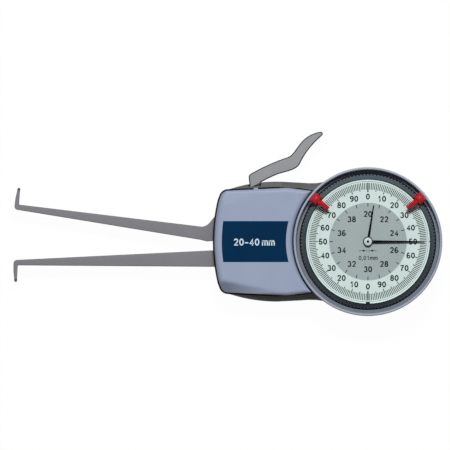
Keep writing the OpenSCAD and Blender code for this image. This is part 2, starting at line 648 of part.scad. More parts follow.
// Wheels behind the dial
cannon_z = [bridge_top + 0.5, bridge_top + 1.4];
transfer_z = [bridge_top + 0.6, bridge_top + 1.3];
hour_z = [bridge_top + 2.1, bridge_top + 2.8];
module cannon_pinion() color("goldenrod") difference() {
    wheel(centre_axis, cannon_teeth, motion_module, leaf_above, leaf_below, motion_angle,
        cannon_z[0], cannon_z[1]);
    rod(centre_axis, centre_r, cannon_z[0] - 1, cannon_z[1] + 1);
}
module transfer_wheel() color("gold") light_wheel(motion_axis, transfer_teeth, motion_module,
    motion_angle + 180 + 180 / transfer_teeth, transfer_z[0], transfer_z[1], pivot_r + run);
module transfer_pinion() color("silver") difference() {
    wheel(motion_axis, leaves, motion_module, leaf_above, leaf_below, motion_angle + 180,
        transfer_z[1], hour_z[1] + 0.2);
    rod(motion_axis, pivot_r + run, transfer_z[1] - 1, hour_z[1] + 1);
}
module hour_wheel() color("gold") difference() {
    union() {
        wheel(centre_axis, hour_teeth, motion_module, wheel_above, wheel_below,
            motion_angle + 180 / hour_teeth, hour_z[0], hour_z[1]);
        rod(centre_axis, tube_r, cannon_z[1] + 0.2, short_hand_low + 0.4);
    }
    rod(centre_axis, centre_r + 0.06, cannon_z[1] - 1, crystal_low);
}

// Hands: a tapered bar from a round boss
module hand(length, root_w, end_w, boss, bore, low) difference() {
    union() {
        rod([0, 0], boss, low, low + hand_h);
        slab([[0, -root_w / 2], [length, -end_w / 2], [length, end_w / 2], [0, root_w / 2]],
            low, low + hand_h);
    }
    rod([0, 0], bore, low - 1, low + 1);
}
module short_hand() color("black") rotate(81)
    hand(short_hand_l, 1.05, 0.45, 1.8, tube_r, short_hand_low);
module long_hand() color("black") hand(long_hand_l, 1.15, 0.4, 1.7, centre_r, long_hand_low);
module hand_cap() color("silver") difference() {
    rod(centre_axis, 1.85, cap_low, cap_low + 0.6);
    rod(centre_axis, centre_r, cap_low - 0.15, cap_low + 0.35);
    rod(centre_axis, 0.4, cap_low + 0.25, cap_low + 1);
}

// Bezel and what turns with it
knurl_z = [flange_top + 2.1, flange_top + 6];
bezel_shoulder = bezel_top - 2.7;
seat_r = dial_r + 1.2;
knurl_line = [for (i = [0 : 2 * knurls - 1]) let (a = 180 * i / knurls)
    (bezel_r - (i % 2 == 0 ? 0 : 0.35)) * [cos(a), sin(a)]];
groove_z = [flange_top + 0.8, flange_top + 1.6];
skirt_r = case_bore - 0.15;
module bezel() color("darkslategray") difference() {
    union() {
        slab(knurl_line, knurl_z[0], knurl_z[1]);
        ring([[0, flange_top + 0.15], [skirt_r, flange_top + 0.15], [skirt_r, groove_z[0]],
            [skirt_r - 0.8, groove_z[0]], [skirt_r - 0.8, groove_z[1]], [skirt_r, groove_z[1]],
            [skirt_r, knurl_z[0] - 0.2], [bezel_r - 0.4, knurl_z[0]], [bezel_r - 0.4, knurl_z[1]],
            [bezel_r - 0.7, bezel_shoulder], [dial_r + 1.1, bezel_top - 0.4], [dial_r + 0.5, bezel_top],
            [0, bezel_top]]);
    }
    rod([0, 0], seat_r, flange_top - 1, crystal_top);
    rod([0, 0], dial_r, crystal_top - 1, bezel_top + 1);
}
module seated(inner, low, high) pipe([0, 0], seat_r - run, inner, low, high);
module crystal() color("aliceblue", 0.3) rod([0, 0], seat_r - run, crystal_low, crystal_top);
module crystal_gasket() color("black") seated(dial_r + 0.3, crystal_low - 0.6, crystal_low);
module dial_ring() color("lightgray") seated(dial_r + 0.1, dial_top, crystal_low - 0.6);
module dial_plate() color("gainsboro") seated(tube_r + 0.7, dial_low, dial_top);
module dial_retainer() color("silver") seated(dial_r - 0.6, dial_low - 1.1, dial_low);
module bezel_seal() color("black") rotate_extrude() translate([skirt_r - 0.38, groove_z[0] + 0.4])
    circle(0.39);

// Red tolerance marker: a saddle on the bezel with a tongue over the dial
marker_w = 4.1;
tongue_w = 2.1;
tongue_in = dial_r - 4.5;
saddle_in = dial_r + 0.6;
saddle_out = bezel_r + 1.35;
saddle_top = bezel_top + 1.7;
module marker() {
    rotate([90, 0, 0]) linear_extrude(marker_w, center = true) polygon([
        [saddle_in, bezel_top + 0.1], [dial_r + 1.2, bezel_top - 0.2], [bezel_r - 0.2, bezel_shoulder],
        [bezel_r + 0.15, knurl_z[1]], [saddle_out, knurl_z[1] - 0.1], [saddle_out, saddle_top - 1.2],
        [saddle_out - 1, saddle_top], [saddle_in, saddle_top]]);
    translate([tongue_in, -tongue_w / 2, bezel_top + 0.1])
        cube([saddle_in - tongue_in + 0.5, tongue_w, 0.8]);
}
module right_marker() color("crimson") rotate(marker_angle) marker();
module left_marker() color("crimson") rotate(180 - marker_angle) marker();

rear_shell();
case_screws();
chassis();
chassis_screws();
fixed_arm();
fixed_tip();
fixed_arm_screws();
arm_seal();
arm_axle();
axle_clip();
lever_pin();
lever_clip();
travel_stops();
spring_anchor();
measuring_spring();
lower_bushes();
bridge_pillars();
movement_bridge();
bridge_screws();
upper_bushes();
hairspring();
hairspring_stud();
motion_stud();
case_gasket();
front_cover();
label_plate();
dial_case();
moving_arm();
moving_tip();
arm_bush();
toothed_sector();
sector_rivets();
spring_post();
opening_lever();
lever_bush();
first_pinion();
first_wheel();
hairspring_collet();
second_pinion();
second_wheel();
centre_arbor();
cannon_pinion();
long_hand();
hand_cap();
transfer_wheel();
transfer_pinion();
hour_wheel();
short_hand();
bezel();
crystal();
crystal_gasket();
dial_ring();
dial_plate();
dial_retainer();
bezel_seal();
left_marker();
right_marker();
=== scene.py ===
import math

import bmesh
import bpy
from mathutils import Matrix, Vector


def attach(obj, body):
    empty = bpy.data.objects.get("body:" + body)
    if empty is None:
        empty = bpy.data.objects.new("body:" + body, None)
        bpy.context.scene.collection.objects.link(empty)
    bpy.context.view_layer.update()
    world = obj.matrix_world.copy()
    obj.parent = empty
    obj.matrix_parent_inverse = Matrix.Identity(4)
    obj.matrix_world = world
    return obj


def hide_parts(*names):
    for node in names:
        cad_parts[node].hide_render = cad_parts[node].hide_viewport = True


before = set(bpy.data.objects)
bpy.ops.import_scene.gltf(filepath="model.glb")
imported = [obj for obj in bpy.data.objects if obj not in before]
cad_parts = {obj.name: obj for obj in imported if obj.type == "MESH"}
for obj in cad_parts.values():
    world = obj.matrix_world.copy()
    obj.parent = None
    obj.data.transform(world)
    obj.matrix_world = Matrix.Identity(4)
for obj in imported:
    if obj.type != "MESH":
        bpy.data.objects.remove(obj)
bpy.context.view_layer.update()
scene = bpy.context.scene
scene.view_settings.view_transform = "Standard"

# Studio: the gauge lies on its back on white paper, under an even sky and one soft lamp on the
# lever's side. The camera hangs straight above, far off behind a long lens, as in the photograph.
# Sizes in this file are millimetres, turned into metres by MM.
MM = 0.001
VIEW_WIDTH = 193.5
VIEW_CENTRE = (-61.45, 7.14)
DIAL_LEVEL = 21
LENS = 1000
SENSOR = 36
PAPER_SIZE = 6000
PAPER_GREY = (150, 150, 150)
PAPER_LEVEL = -0.05
PAPER_GLOW = 0.93
PAPER_WHITE = 1.05
SKY_LEVEL = 0.15
LAMP_LEVEL = 0.96
LAMP_PLACE = (0, 700, 1380)
LAMP_SIZE = (400, 220)


def node(tree, kind, inputs=None, **settings):
    """A new node with its settings; each input takes a value or a link from another node's output."""
    prefix = "" if kind.startswith("NodeGroup") else "ShaderNode"
    made = tree.nodes.new(prefix + kind)
    for name, value in settings.items():
        setattr(made, name, value)
    for name, value in (inputs or {}).items():
        if isinstance(value, bpy.types.NodeSocket):
            tree.links.new(value, made.inputs[name])
        else:
            made.inputs[name].default_value = value
    return made


def paint(red, green, blue):
    """A colour as a shade card gives it, 0 to 255, turned into linear light."""
    shares = [value / 255 for value in (red, green, blue)]
    return [s / 12.92 if s <= 0.04045 else ((s + 0.055) / 1.055) ** 2.4 for s in shares] + [1]


def seen_rays(tree):
    """1 for a ray from the camera, from a gloss or through glass, and 0 for the light itself."""
    path = node(tree, "LightPath")
    outer = {0: path.outputs["Is Camera Ray"], 1: path.outputs["Is Glossy Ray"]}
    either = node(tree, "Math", outer, operation="MAXIMUM")
    inner = {0: either.outputs[0], 1: path.outputs["Is Transmission Ray"]}
    return node(tree, "Math", inner, operation="MAXIMUM").outputs[0]


sky = bpy.data.worlds.new("studio_sky")
scene.world = sky
sky.use_nodes = True
sky_tree = sky.node_tree
sky_tree.nodes.clear()
sky_lift = {0: seen_rays(sky_tree), 1: 1 - SKY_LEVEL, 2: SKY_LEVEL}
sky_strength = node(sky_tree, "Math", sky_lift, operation="MULTIPLY_ADD")
sky_light = node(sky_tree, "Background", {"Color": (1, 1, 1, 1), "Strength": sky_strength.outputs[0]})
node(sky_tree, "OutputWorld", {"Surface": sky_light.outputs[0]})

paper_finish = bpy.data.materials.new("studio_paper")
paper_finish.use_nodes = True
paper_tree = paper_finish.node_tree
paper_tree.nodes.clear()
paper_sheet = node(paper_tree, "BsdfDiffuse", {"Color": paint(*PAPER_GREY)})
paper_white = node(paper_tree, "Emission", {"Color": (1, 1, 1, 1), "Strength": PAPER_WHITE})
paper_share = node(paper_tree, "Math", {0: seen_rays(paper_tree), 1: PAPER_GLOW}, operation="MULTIPLY")
paper_mix = node(paper_tree, "MixShader", {
    0: paper_share.outputs[0], 1: paper_sheet.outputs[0], 2: paper_white.outputs[0]})
node(paper_tree, "OutputMaterial", {"Surface": paper_mix.outputs[0]})

paper_half = PAPER_SIZE / 2 * MM
paper_mesh = bpy.data.meshes.new("paper")
paper_signs = ((-1, -1), (1, -1), (1, 1), (-1, 1))
paper_corners = [(x * paper_half, y * paper_half, PAPER_LEVEL * MM) for x, y in paper_signs]
paper_mesh.from_pydata(paper_corners, [], [(0, 1, 2, 3)])
paper_mesh.materials.append(paper_finish)
paper = bpy.data.objects.new("paper", paper_mesh)
scene.collection.objects.link(paper)

lamp_light = bpy.data.lights.new("soft_lamp", "AREA")
lamp_light.shape = "RECTANGLE"
lamp_light.size = LAMP_SIZE[0] * MM
lamp_light.size_y = LAMP_SIZE[1] * MM
lamp = bpy.data.objects.new("soft_lamp", lamp_light)
scene.collection.objects.link(lamp)
lamp.location = Vector(LAMP_PLACE) * MM
lamp_aim = Vector((VIEW_CENTRE[0], VIEW_CENTRE[1], DIAL_LEVEL)) * MM - lamp.location
lamp.rotation_euler = lamp_aim.to_track_quat("-Z", "Y").to_euler()
lamp_light.energy = LAMP_LEVEL * math.pi ** 2 * lamp_aim.length_squared

camera_lens = bpy.data.cameras.new("overhead_camera")
camera_lens.lens = LENS
camera_lens.sensor_width = SENSOR
camera = bpy.data.objects.new("overhead_camera", camera_lens)
scene.collection.objects.link(camera)
camera_height = DIAL_LEVEL + VIEW_WIDTH * LENS / SENSOR
camera.location = Vector((VIEW_CENTRE[0], VIEW_CENTRE[1], camera_height)) * MM
scene.camera = camera

# Rear shell: the back half, moulded in plastic, a flat box that runs into a round cup behind the dial.
# Its flanks swell and draw in again to the seam. It has a window for the arms, a slot under a thin
# brow for the lever, and recesses in its back for the screws that close it.
FRONT_X = -66.4
FRONT_R = 78
FRONT_ROWS = 12
FRONT_HALF_W = 18
CORNER_AT = (-60.1, 18.6)
CORNER_R = 3.7
CORNER_TURNS = (165, 100)
CORNER_STEPS = 8
SIDE_X = -39
SIDE_R = 66
SIDE_TURNS = (107, 90)
SIDE_STEPS = 10
SHELL_HALF_W = 25.9
WAIST = [(-29, 25.4), (-25.5, 25.15), (-22, 25.2)]
NECK_Y = 25.8
CUP_R = 31.6
CUP_STEPS = 28
SHELL_H = 14
SHELL_FLOOR = 2.2
SHELL_WIDEST = 7
SHELL_WALL = 2
SEAM_LIP = 0.7
COVER_INSET = 0.4
COVER_PEAK = (-34.6, 23.15)
COVER_END = (-24, 21.5)
COVER_TAIL = (-16, 20.05)
BACK_LAYERS = [(0, 3.2, 3), (0.25, 2.3, 2.1), (0.8, 1.45, 1.2), (1.8, 0.75, 0.45), (3.2, 0.25, 0),
               (5, 0.05, 0)]
FLANK_LEVELS = [7, 8.2, 9.4, 10.6, 11.8, 12.7, 13.4, 13.8, 14]
ARM_WINDOW = ((-69, -11.6, 6.1), (-62, 13.6, 11.9))
LEVER_SLOT = ((-51.5, 18, 5), (-45.8, 30, 13))
LEVER_RELIEF = [(-46, 23), (-44.4, 24.1), (-41.4, 25), (-37.4, 25.85), (-37.4, 30), (-46, 30)]
BROW_INNER_Y = 22.9
BROW_STATIONS = [(-46, 0.45), (-45.2, 0.2), (-43.5, 0.12), (-41.5, 0.12), (-39.5, 0.12), (-37, 0.3)]
BROW_PROFILE = [(0, 12.75), (1, 12.75), (0.95, 13.05), (0.78, 13.4), (0.45, 13.75), (0.1, 13.95),
                (0, 13.95)]
CASE_SCREWS = [(-60.2, 17.2), (-60.2, -17.2), (-31, 19.5), (-31, -19.5)]
CASE_SCREW_RECESS = (2.05, 1.6)
PLATE_SCREWS = [(-48, -17), (-38, 17.5), (18, 0)]
PLATE_SCREW_RECESS = (1.9, 1.3)
PEG_SIDES = 36
CUT_PAST = 1
MITRE_LEAST = 0.3
SOFT_ANGLE = math.radians(38)


def arc(centre, radius, start, end, steps):
    """Points along an arc between two angles in degrees."""
    turns = [math.radians(start + (end - start) * i / steps) for i in range(steps + 1)]
    return [(centre[0] + radius * math.cos(t), centre[1] + radius * math.sin(t)) for t in turns]


def circle(centre, radius, sides):
    """Points once round a circle."""
    return arc(centre, radius, 0, 360 - 360 / sides, sides - 1)


def mix(a, b, share):
    """The value at a share of the way from one to another."""
    return a + (b - a) * share


def front_half(inset):
    """Front end of the housing from its middle round the corner, inset."""
    rows = [FRONT_HALF_W * i / FRONT_ROWS for i in range(FRONT_ROWS + 1)]
    front = [(FRONT_X + FRONT_R - math.sqrt((FRONT_R - inset) ** 2 - y * y), y) for y in rows]
    return front + arc(CORNER_AT, CORNER_R - inset, *CORNER_TURNS, CORNER_STEPS)


def cover_edge(x):
    """Half width of the front cover at x, along its side."""
    start = front_half(COVER_INSET)[-1]
    stops = [start, COVER_PEAK, COVER_END, COVER_TAIL]
    for (x0, y0), (x1, y1) in zip(stops, stops[1:]):
        if x <= x1:
            return mix(y0, y1, (x - x0) / (x1 - x0))
    return stops[-1][1]


def closed_by_mirror(points):
    """A half outline from the front middle to the far end, closed by its mirror image."""
    return points + [(x, -y) for x, y in reversed(points[1:-1])]


def housing_outline(inset, cup_r, drawn_in):
    """Outline of the housing; drawn_in runs from 0 at the widest to 1 at the cover's own edge."""
    sides = arc((SIDE_X, SHELL_HALF_W - SIDE_R), SIDE_R - inset, *SIDE_TURNS, SIDE_STEPS)
    sides += [(x, y - inset) for x, y in WAIST]
    neck_y = mix(NECK_Y - inset, cover_edge(COVER_END[0]) + SEAM_LIP, drawn_in)
    neck_x = -math.sqrt(cup_r ** 2 - neck_y ** 2)
    sides.append((neck_x, neck_y))
    flank = [(x, mix(y, cover_edge(x) + SEAM_LIP, drawn_in)) for x, y in sides[:-1]] + sides[-1:]
    neck_turn = math.degrees(math.atan2(neck_y, neck_x))
    return closed_by_mirror(front_half(inset) + flank + arc((0, 0), cup_r, neck_turn, 0, CUP_STEPS)[1:])


def shell_layer(level):
    """Outline of the rear shell at a height of its flank."""
    rise = max(0, (level - SHELL_WIDEST) / (SHELL_H - SHELL_WIDEST))
    return housing_outline(mix(0, COVER_INSET - SEAM_LIP, rise ** 2), CUP_R, rise ** 2)


def inset_loop(points, distance):
    """A closed outline moved inwards by a distance, square to its sides."""
    pairs = list(zip(points, points[1:] + points[:1]))
    turn_way = 1 if sum(ax * by - bx * ay for (ax, ay), (bx, by) in pairs) > 0 else -1
    normals = []
    for (ax, ay), (bx, by) in pairs:
        length = math.hypot(bx - ax, by - ay)
        normals.append((turn_way * (ay - by) / length, turn_way * (bx - ax) / length))
    moved = []
    for i, (x, y) in enumerate(points):
        (ax, ay), (bx, by) = normals[i - 1], normals[i]
        reach = distance / max(MITRE_LEAST, 1 + ax * bx + ay * by)
        moved.append((x + reach * (ax + bx), y + reach * (ay + by)))
    return moved


def at_level(outline, level):
    """An outline laid at a height."""
    return [(x, y, level) for x, y in outline]


def loft(loops, ring=False):
    """Skin over loops of equal length: closed by a flat face at each end, or back on itself as a ring."""
    count = len(loops[0])
    points = [point for loop in loops for point in loop]
    spans = [(i, (i + 1) % len(loops)) for i in range(len(loops) if ring else len(loops) - 1)]
    faces = []
    for low, high in spans:
        for k in range(count):
            after = (k + 1) % count
            faces.append((low * count + k, low * count + after, high * count + after, high * count + k))
    if not ring:
        faces.append(tuple(reversed(range(count))))
        faces.append(tuple(range(len(points) - count, len(points))))
    return points, faces


def joined(*solids):
    """Several solids as one list of points and faces."""
    points, faces = [], []
    for more_points, more_faces in solids:
        start = len(points)
        points = points + list(more_points)
        faces = faces + [tuple(start + i for i in face) for face in more_faces]
    return points, faces


def block(low, high):
    """A box between two corners."""
    corners = [(low[0], low[1]), (high[0], low[1]), (high[0], high[1]), (low[0], high[1])]
    return loft([at_level(corners, low[2]), at_level(corners, high[2])])


def peg(at, radius, low, high):
    """A round peg standing on its centre."""
    rim = circle(at, radius, PEG_SIDES)
    return loft([at_level(rim, low), at_level(rim, high)])


def new_mesh(name, solid, finishes):
    """A mesh in metres of a solid in millimetres, with its faces turned outwards."""
    points, faces = solid
    mesh = bpy.data.meshes.new(name)
    mesh.from_pydata([(x * MM, y * MM, z * MM) for x, y, z in points], [], faces)
    shape = bmesh.new()
    shape.from_mesh(mesh)
    bmesh.ops.recalc_face_normals(shape, faces=shape.faces)
    shape.to_mesh(mesh)
    shape.free()
    for finish in finishes:
        mesh.materials.append(finish)
    return mesh


def make_piece(name, solid, finishes, body, slot, *nodes):
    """A new piece of the gauge that rides on a body and stands for the nodes it replaces."""
    piece = bpy.data.objects.new(name, new_mesh(name, solid, finishes))
    scene.collection.objects.link(piece)
    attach(piece, body)
    if nodes:
        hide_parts(*nodes)
    return piece


def reshape(piece, solid, operation="DIFFERENCE"):
    """Cuts a solid out of a piece, or adds it, and keeps the result as the piece's own mesh."""
    tool = bpy.data.objects.new("tool", new_mesh("tool", solid, []))
    scene.collection.objects.link(tool)
    step = piece.modifiers.new("reshape", "BOOLEAN")
    step.operation = operation
    step.solver = "EXACT"
    step.object = tool
    made = piece.evaluated_get(bpy.context.evaluated_depsgraph_get())
    shaped = bpy.data.meshes.new_from_object(made)
    piece.modifiers.remove(step)
    old = piece.data
    piece.data = shaped
    shaped.name = piece.name
    bpy.data.meshes.remove(old)
    bpy.data.objects.remove(tool)


def soften(piece, angle=SOFT_ANGLE):
    """Smooth shading with crisp corners past an angle, led by the large faces."""
    mesh = piece.data
    mesh.polygons.foreach_set("use_smooth", [True] * len(mesh.polygons))
    mesh.set_sharp_from_angle(angle=angle)
    weighting = piece.modifiers.new("large_faces_lead", "WEIGHTED_NORMAL")
    weighting.keep_sharp = True


def new_group(name, inputs, outputs):
    """An empty effect with named inputs and outputs, and its two end nodes."""
    group = bpy.data.node_groups.new(name, "ShaderNodeTree")
    for label, kind, value in inputs:
        socket = group.interface.new_socket(label, in_out="INPUT", socket_type="NodeSocket" + kind)
        socket.default_value = value
    for label, kind in outputs:
        group.interface.new_socket(label, in_out="OUTPUT", socket_type="NodeSocket" + kind)
    return group, node(group, "NodeGroupInput"), node(group, "NodeGroupOutput")


grain, grain_in, grain_out = new_group(
    "moulded_grain",
    [("Colour", "Color", (0.5, 0.5, 0.5, 1)), ("Shade", "Color", (0.4, 0.4, 0.4, 1)),
     ("Per Metre", "Float", 3000)],
    [("Colour", "Color"), ("Height", "Float")])
grain_place = node(grain, "TexCoord")
grain_noise = node(grain, "TexNoise", {
    "Vector": grain_place.outputs["Object"], "Scale": grain_in.outputs["Per Metre"], "Detail": 3})
grain_cloud = node(grain, "TexNoise", {"Vector": grain_place.outputs["Object"], "Scale": 90, "Detail": 2})
grain_sum = node(grain, "Math", {0: grain_noise.outputs[0], 1: grain_cloud.outputs[0]}, operation="ADD")
grain_share = node(grain, "MapRange", {
    "Value": grain_sum.outputs[0], "From Min": 0.75, "From Max": 1.25, "To Min": 0, "To Max": 1})
grain_mix = node(grain, "Mix", {
    0: grain_share.outputs[0], 6: grain_in.outputs["Shade"], 7: grain_in.outputs["Colour"]},
    data_type="RGBA")
grain.links.new(grain_mix.outputs[2], grain_out.inputs["Colour"])
grain.links.new(grain_noise.outputs[0], grain_out.inputs["Height"])

handling, handling_in, handling_out = new_group(
    "handling_marks", [("Base", "Float", 0.5), ("Spread", "Float", 0.1)], [("Roughness", "Float")])
handling_place = node(handling, "TexCoord")
handling_noise = node(handling, "TexNoise", {
    "Vector": handling_place.outputs["Object"], "Scale": 70, "Detail": 4, "Roughness": 0.6})
handling_swing = node(handling, "Math", {0: handling_noise.outputs[0], 1: 0.5}, operation="SUBTRACT")
handling_sum = node(handling, "Math", {
    0: handling_swing.outputs[0], 1: handling_in.outputs["Spread"], 2: handling_in.outputs["Base"]},
    operation="MULTIPLY_ADD")
handling.links.new(handling_sum.outputs[0], handling_out.inputs["Roughness"])


def new_finish(name, constants):
    """A material with its shader; constants are named by socket, and a socket's blanks by underlines."""
    made = bpy.data.materials.new(name)
    made.use_nodes = True
    shader = made.node_tree.nodes["Principled BSDF"]
    for socket, value in constants.items():
        shader.inputs[socket.replace("_", " ")].default_value = value
    return made, made.node_tree, shader


def moulded(name, colour, shade, per_metre, depth, rough, spread, **constants):
    """A moulded, painted or printed finish: speckled colour, fine grain and marks of handling."""
    made, tree, shader = new_finish(name, constants)
    skin = node(tree, "Group", node_tree=grain)
    skin.inputs["Colour"].default_value = paint(*colour)
    skin.inputs["Shade"].default_value = paint(*shade)
    skin.inputs["Per Metre"].default_value = per_metre
    touch = node(tree, "Group", node_tree=handling)
    touch.inputs["Base"].default_value = rough
    touch.inputs["Spread"].default_value = spread
    relief = node(tree, "Bump", {"Height": skin.outputs["Height"], "Distance": depth * MM})
    tree.links.new(skin.outputs["Colour"], shader.inputs["Base Color"])
    tree.links.new(touch.outputs["Roughness"], shader.inputs["Roughness"])
    tree.links.new(relief.outputs[0], shader.inputs["Normal"])
    return made


shell_plastic = moulded("shell_plastic", (106, 106, 105), (96, 96, 95), per_metre=2600, depth=0.02,
                        rough=0.6, spread=0.12, Specular_IOR_Level=0.03)

back_loops = [at_level(housing_outline(inset, CUP_R - cup_inset, 0), level)
              for level, inset, cup_inset in BACK_LAYERS]
flank_loops = [at_level(shell_layer(level), level) for level in FLANK_LEVELS]
inner_loops = [at_level(inset_loop(shell_layer(level), SHELL_WALL), level)
               for level in (SHELL_H, SHELL_WIDEST, SHELL_FLOOR)]
rear_shell = make_piece("rear_shell_skin", loft(back_loops + flank_loops + inner_loops), [shell_plastic],
                        "housing", "shell_plastic", "rear_shell")
recesses = []
for places, radius, depth in ((CASE_SCREWS, *CASE_SCREW_RECESS), (PLATE_SCREWS, *PLATE_SCREW_RECESS)):
    recesses += [peg(at, radius, -CUT_PAST, depth) for at in places]
reshape(rear_shell, joined(block(*ARM_WINDOW), block(*LEVER_SLOT), *recesses))
reshape(rear_shell, loft([at_level(LEVER_RELIEF, level) for level in (LEVER_SLOT[0][2], LEVER_SLOT[1][2])]))
brow_loops = []
for x, back in BROW_STATIONS:
    flank_y = SHELL_HALF_W - SIDE_R + math.sqrt(SIDE_R ** 2 - (x - SIDE_X) ** 2)
    outer_y = flank_y - back
    brow_loops.append([(x, mix(BROW_INNER_Y, outer_y, share), level) for share, level in BROW_PROFILE])
reshape(rear_shell, loft(brow_loops), "UNION")
soften(rear_shell)

# Screws, pins and posts: plain turned steel, bright from the lathe, with a measuring spring of bright
# wire. The case and plate screws show in the back, the rest hold the arms, the lever and the springs.
brushed, brushed_in, brushed_out = new_group(
    "brushed_lines",
    [("Colour", "Color", (0.5, 0.5, 0.5, 1)), ("Shade", "Color", (0.4, 0.4, 0.4, 1)),
     ("Stretch", "Vector", (200, 6000, 6000)), ("Turn", "Float", 0)],
    [("Colour", "Color"), ("Height", "Float")])
brushed_place = node(brushed, "TexCoord")
brushed_turn = node(brushed, "VectorRotate", {
    "Vector": brushed_place.outputs["Object"], "Angle": brushed_in.outputs["Turn"]}, rotation_type="Z_AXIS")
brushed_long = node(brushed, "VectorMath", {
    0: brushed_turn.outputs[0], 1: brushed_in.outputs["Stretch"]}, operation="MULTIPLY")
brushed_noise = node(brushed, "TexNoise", {"Vector": brushed_long.outputs[0], "Scale": 1, "Detail": 4})
brushed_share = node(brushed, "MapRange", {
    "Value": brushed_noise.outputs[0], "From Min": 0.3, "From Max": 0.7, "To Min": 0, "To Max": 1})
brushed_mix = node(brushed, "Mix", {
    0: brushed_share.outputs[0], 6: brushed_in.outputs["Shade"], 7: brushed_in.outputs["Colour"]},
    data_type="RGBA")
brushed.links.new(brushed_mix.outputs[2], brushed_out.inputs["Colour"])
brushed.links.new(brushed_noise.outputs[0], brushed_out.inputs["Height"])

# Painted rim tone: faces take the rim colour by how far they tilt from flat, so that rounded rims
# and flanks show painted edge shading in place of the light and shade that fall on them.
rim_tone, rim_tone_in, rim_tone_out = new_group(
    "painted_rim_tone",
    [("Face", "Color", (0.5, 0.5, 0.5, 1)), ("Rim", "Color", (0.2, 0.2, 0.2, 1)),
     ("Face Roughness", "Float", 0.4), ("Rim Roughness", "Float", 0.8)],
    [("Colour", "Color"), ("Roughness", "Float"), ("Metallic", "Float")])
rim_shape = node(rim_tone, "NewGeometry")
rim_split = node(rim_tone, "SeparateXYZ", {0: rim_shape.outputs["Normal"]})
rim_up = node(rim_tone, "Math", {0: rim_split.outputs["Z"]}, operation="ABSOLUTE")
rim_top = node(rim_tone, "MapRange", {
    "Value": rim_up.outputs[0], "From Min": 0.96, "From Max": 0.999, "To Min": 0, "To Max": 1})
rim_flank = node(rim_tone, "MapRange", {
    "Value": rim_up.outputs[0], "From Min": 0.02, "From Max": 0.12, "To Min": 1, "To Max": 0})
rim_share = node(rim_tone, "Math", {0: rim_top.outputs[0], 1: rim_flank.outputs[0]}, operation="MAXIMUM")
rim_mix = node(rim_tone, "Mix", {
    0: rim_share.outputs[0], 6: rim_tone_in.outputs["Rim"], 7: rim_tone_in.outputs["Face"]},
    data_type="RGBA")
rim_rough = node(rim_tone, "Mix", {
    0: rim_share.outputs[0], 2: rim_tone_in.outputs["Rim Roughness"],
    3: rim_tone_in.outputs["Face Roughness"]})
rim_tone.links.new(rim_mix.outputs[2], rim_tone_out.inputs["Colour"])
rim_tone.links.new(rim_rough.outputs[0], rim_tone_out.inputs["Roughness"])
rim_tone.links.new(rim_share.outputs[0], rim_tone_out.inputs["Metallic"])


def ground_metal(name, colour, shade, rough, spread, stretch=(200, 6000, 6000), turn=0, rim=None,
                 depth=0.003, **constants):
    """Bare metal with its grinding lines, and painted edge shading on its rims where rim is given."""
    made, tree, shader = new_finish(name, constants)
    shader.inputs["Metallic"].default_value = 1
    lines = node(tree, "Group", node_tree=brushed)
    lines.inputs["Colour"].default_value = paint(*colour)
    lines.inputs["Shade"].default_value = paint(*shade)
    lines.inputs["Stretch"].default_value = stretch
    lines.inputs["Turn"].default_value = math.radians(turn)
    touch = node(tree, "Group", node_tree=handling)
    touch.inputs["Base"].default_value = rough
    touch.inputs["Spread"].default_value = spread
    relief = node(tree, "Bump", {"Height": lines.outputs["Height"], "Distance": depth * MM})
    surface, polish = lines.outputs["Colour"], touch.outputs["Roughness"]
    if rim:
        rims = node(tree, "Group", node_tree=rim_tone)
        tree.links.new(surface, rims.inputs["Face"])
        tree.links.new(polish, rims.inputs["Face Roughness"])
        rims.inputs["Rim"].default_value = paint(*rim)
        tree.links.new(rims.outputs["Metallic"], shader.inputs["Metallic"])
        surface, polish = rims.outputs["Colour"], rims.outputs["Roughness"]
    tree.links.new(surface, shader.inputs["Base Color"])
    tree.links.new(polish, shader.inputs["Roughness"])
    tree.links.new(relief.outputs[0], shader.inputs["Normal"])
    return made


def dress(finish, *names):
    """Gives nodes that keep their own shape a finish."""
    for name in names:
        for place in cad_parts[name].material_slots:
            place.material = finish


bright_steel = ground_metal("bright_steel", (196, 198, 202), (176, 178, 183), rough=0.28, spread=0.1,
                            stretch=(3000, 3000, 200))
dress(bright_steel, "case_screws", "chassis_screws", "fixed_arm_screws", "arm_axle", "axle_clip",
      "lever_pin", "lever_clip", "travel_stops", "spring_anchor", "spring_post", "measuring_spring",
      "bridge_pillars", "bridge_screws", "hairspring_stud", "motion_stud")

# Chassis and movement: two aluminium plates carry brass bushes, and between and above them run the
# steel arbors with brass wheels. All of it is hidden behind the dial and the cover.
aluminium = ground_metal("aluminium", (201, 203, 206), (186, 188, 192), rough=0.42, spread=0.1,
                         stretch=(300, 5000, 5000))
dress(aluminium, "chassis", "movement_bridge", "dial_retainer")
brass = ground_metal("brass", (214, 178, 102), (190, 152, 80), rough=0.3, spread=0.12,
                     stretch=(2500, 2500, 400))
dress(brass, "lower_bushes", "upper_bushes", "arm_bush", "lever_bush", "sector_rivets", "first_wheel",
      "second_wheel", "cannon_pinion", "transfer_wheel", "hour_wheel", "hairspring_collet")
gear_steel = ground_metal("gear_steel", (178, 180, 185), (158, 160, 166), rough=0.32, spread=0.1,
                          stretch=(2500, 2500, 300))
dress(gear_steel, "toothed_sector", "first_pinion", "second_pinion", "centre_arbor", "transfer_pinion")
blued_spring = ground_metal("blued_spring", (62, 84, 140), (44, 60, 108), rough=0.25, spread=0.08)
dress(blued_spring, "hairspring")

# Seals: black moulded rubber, matt, with the bloom that rubber gets. One frames the arms in their
# window, one sits in the bezel's groove, one under the window glass.
rubber = moulded("rubber", (26, 26, 28), (18, 18, 20), per_metre=1800, depth=0.03, rough=0.78,
                 spread=0.12, Specular_IOR_Level=0.15)
dress(rubber, "arm_seal", "bezel_seal", "crystal_gasket")

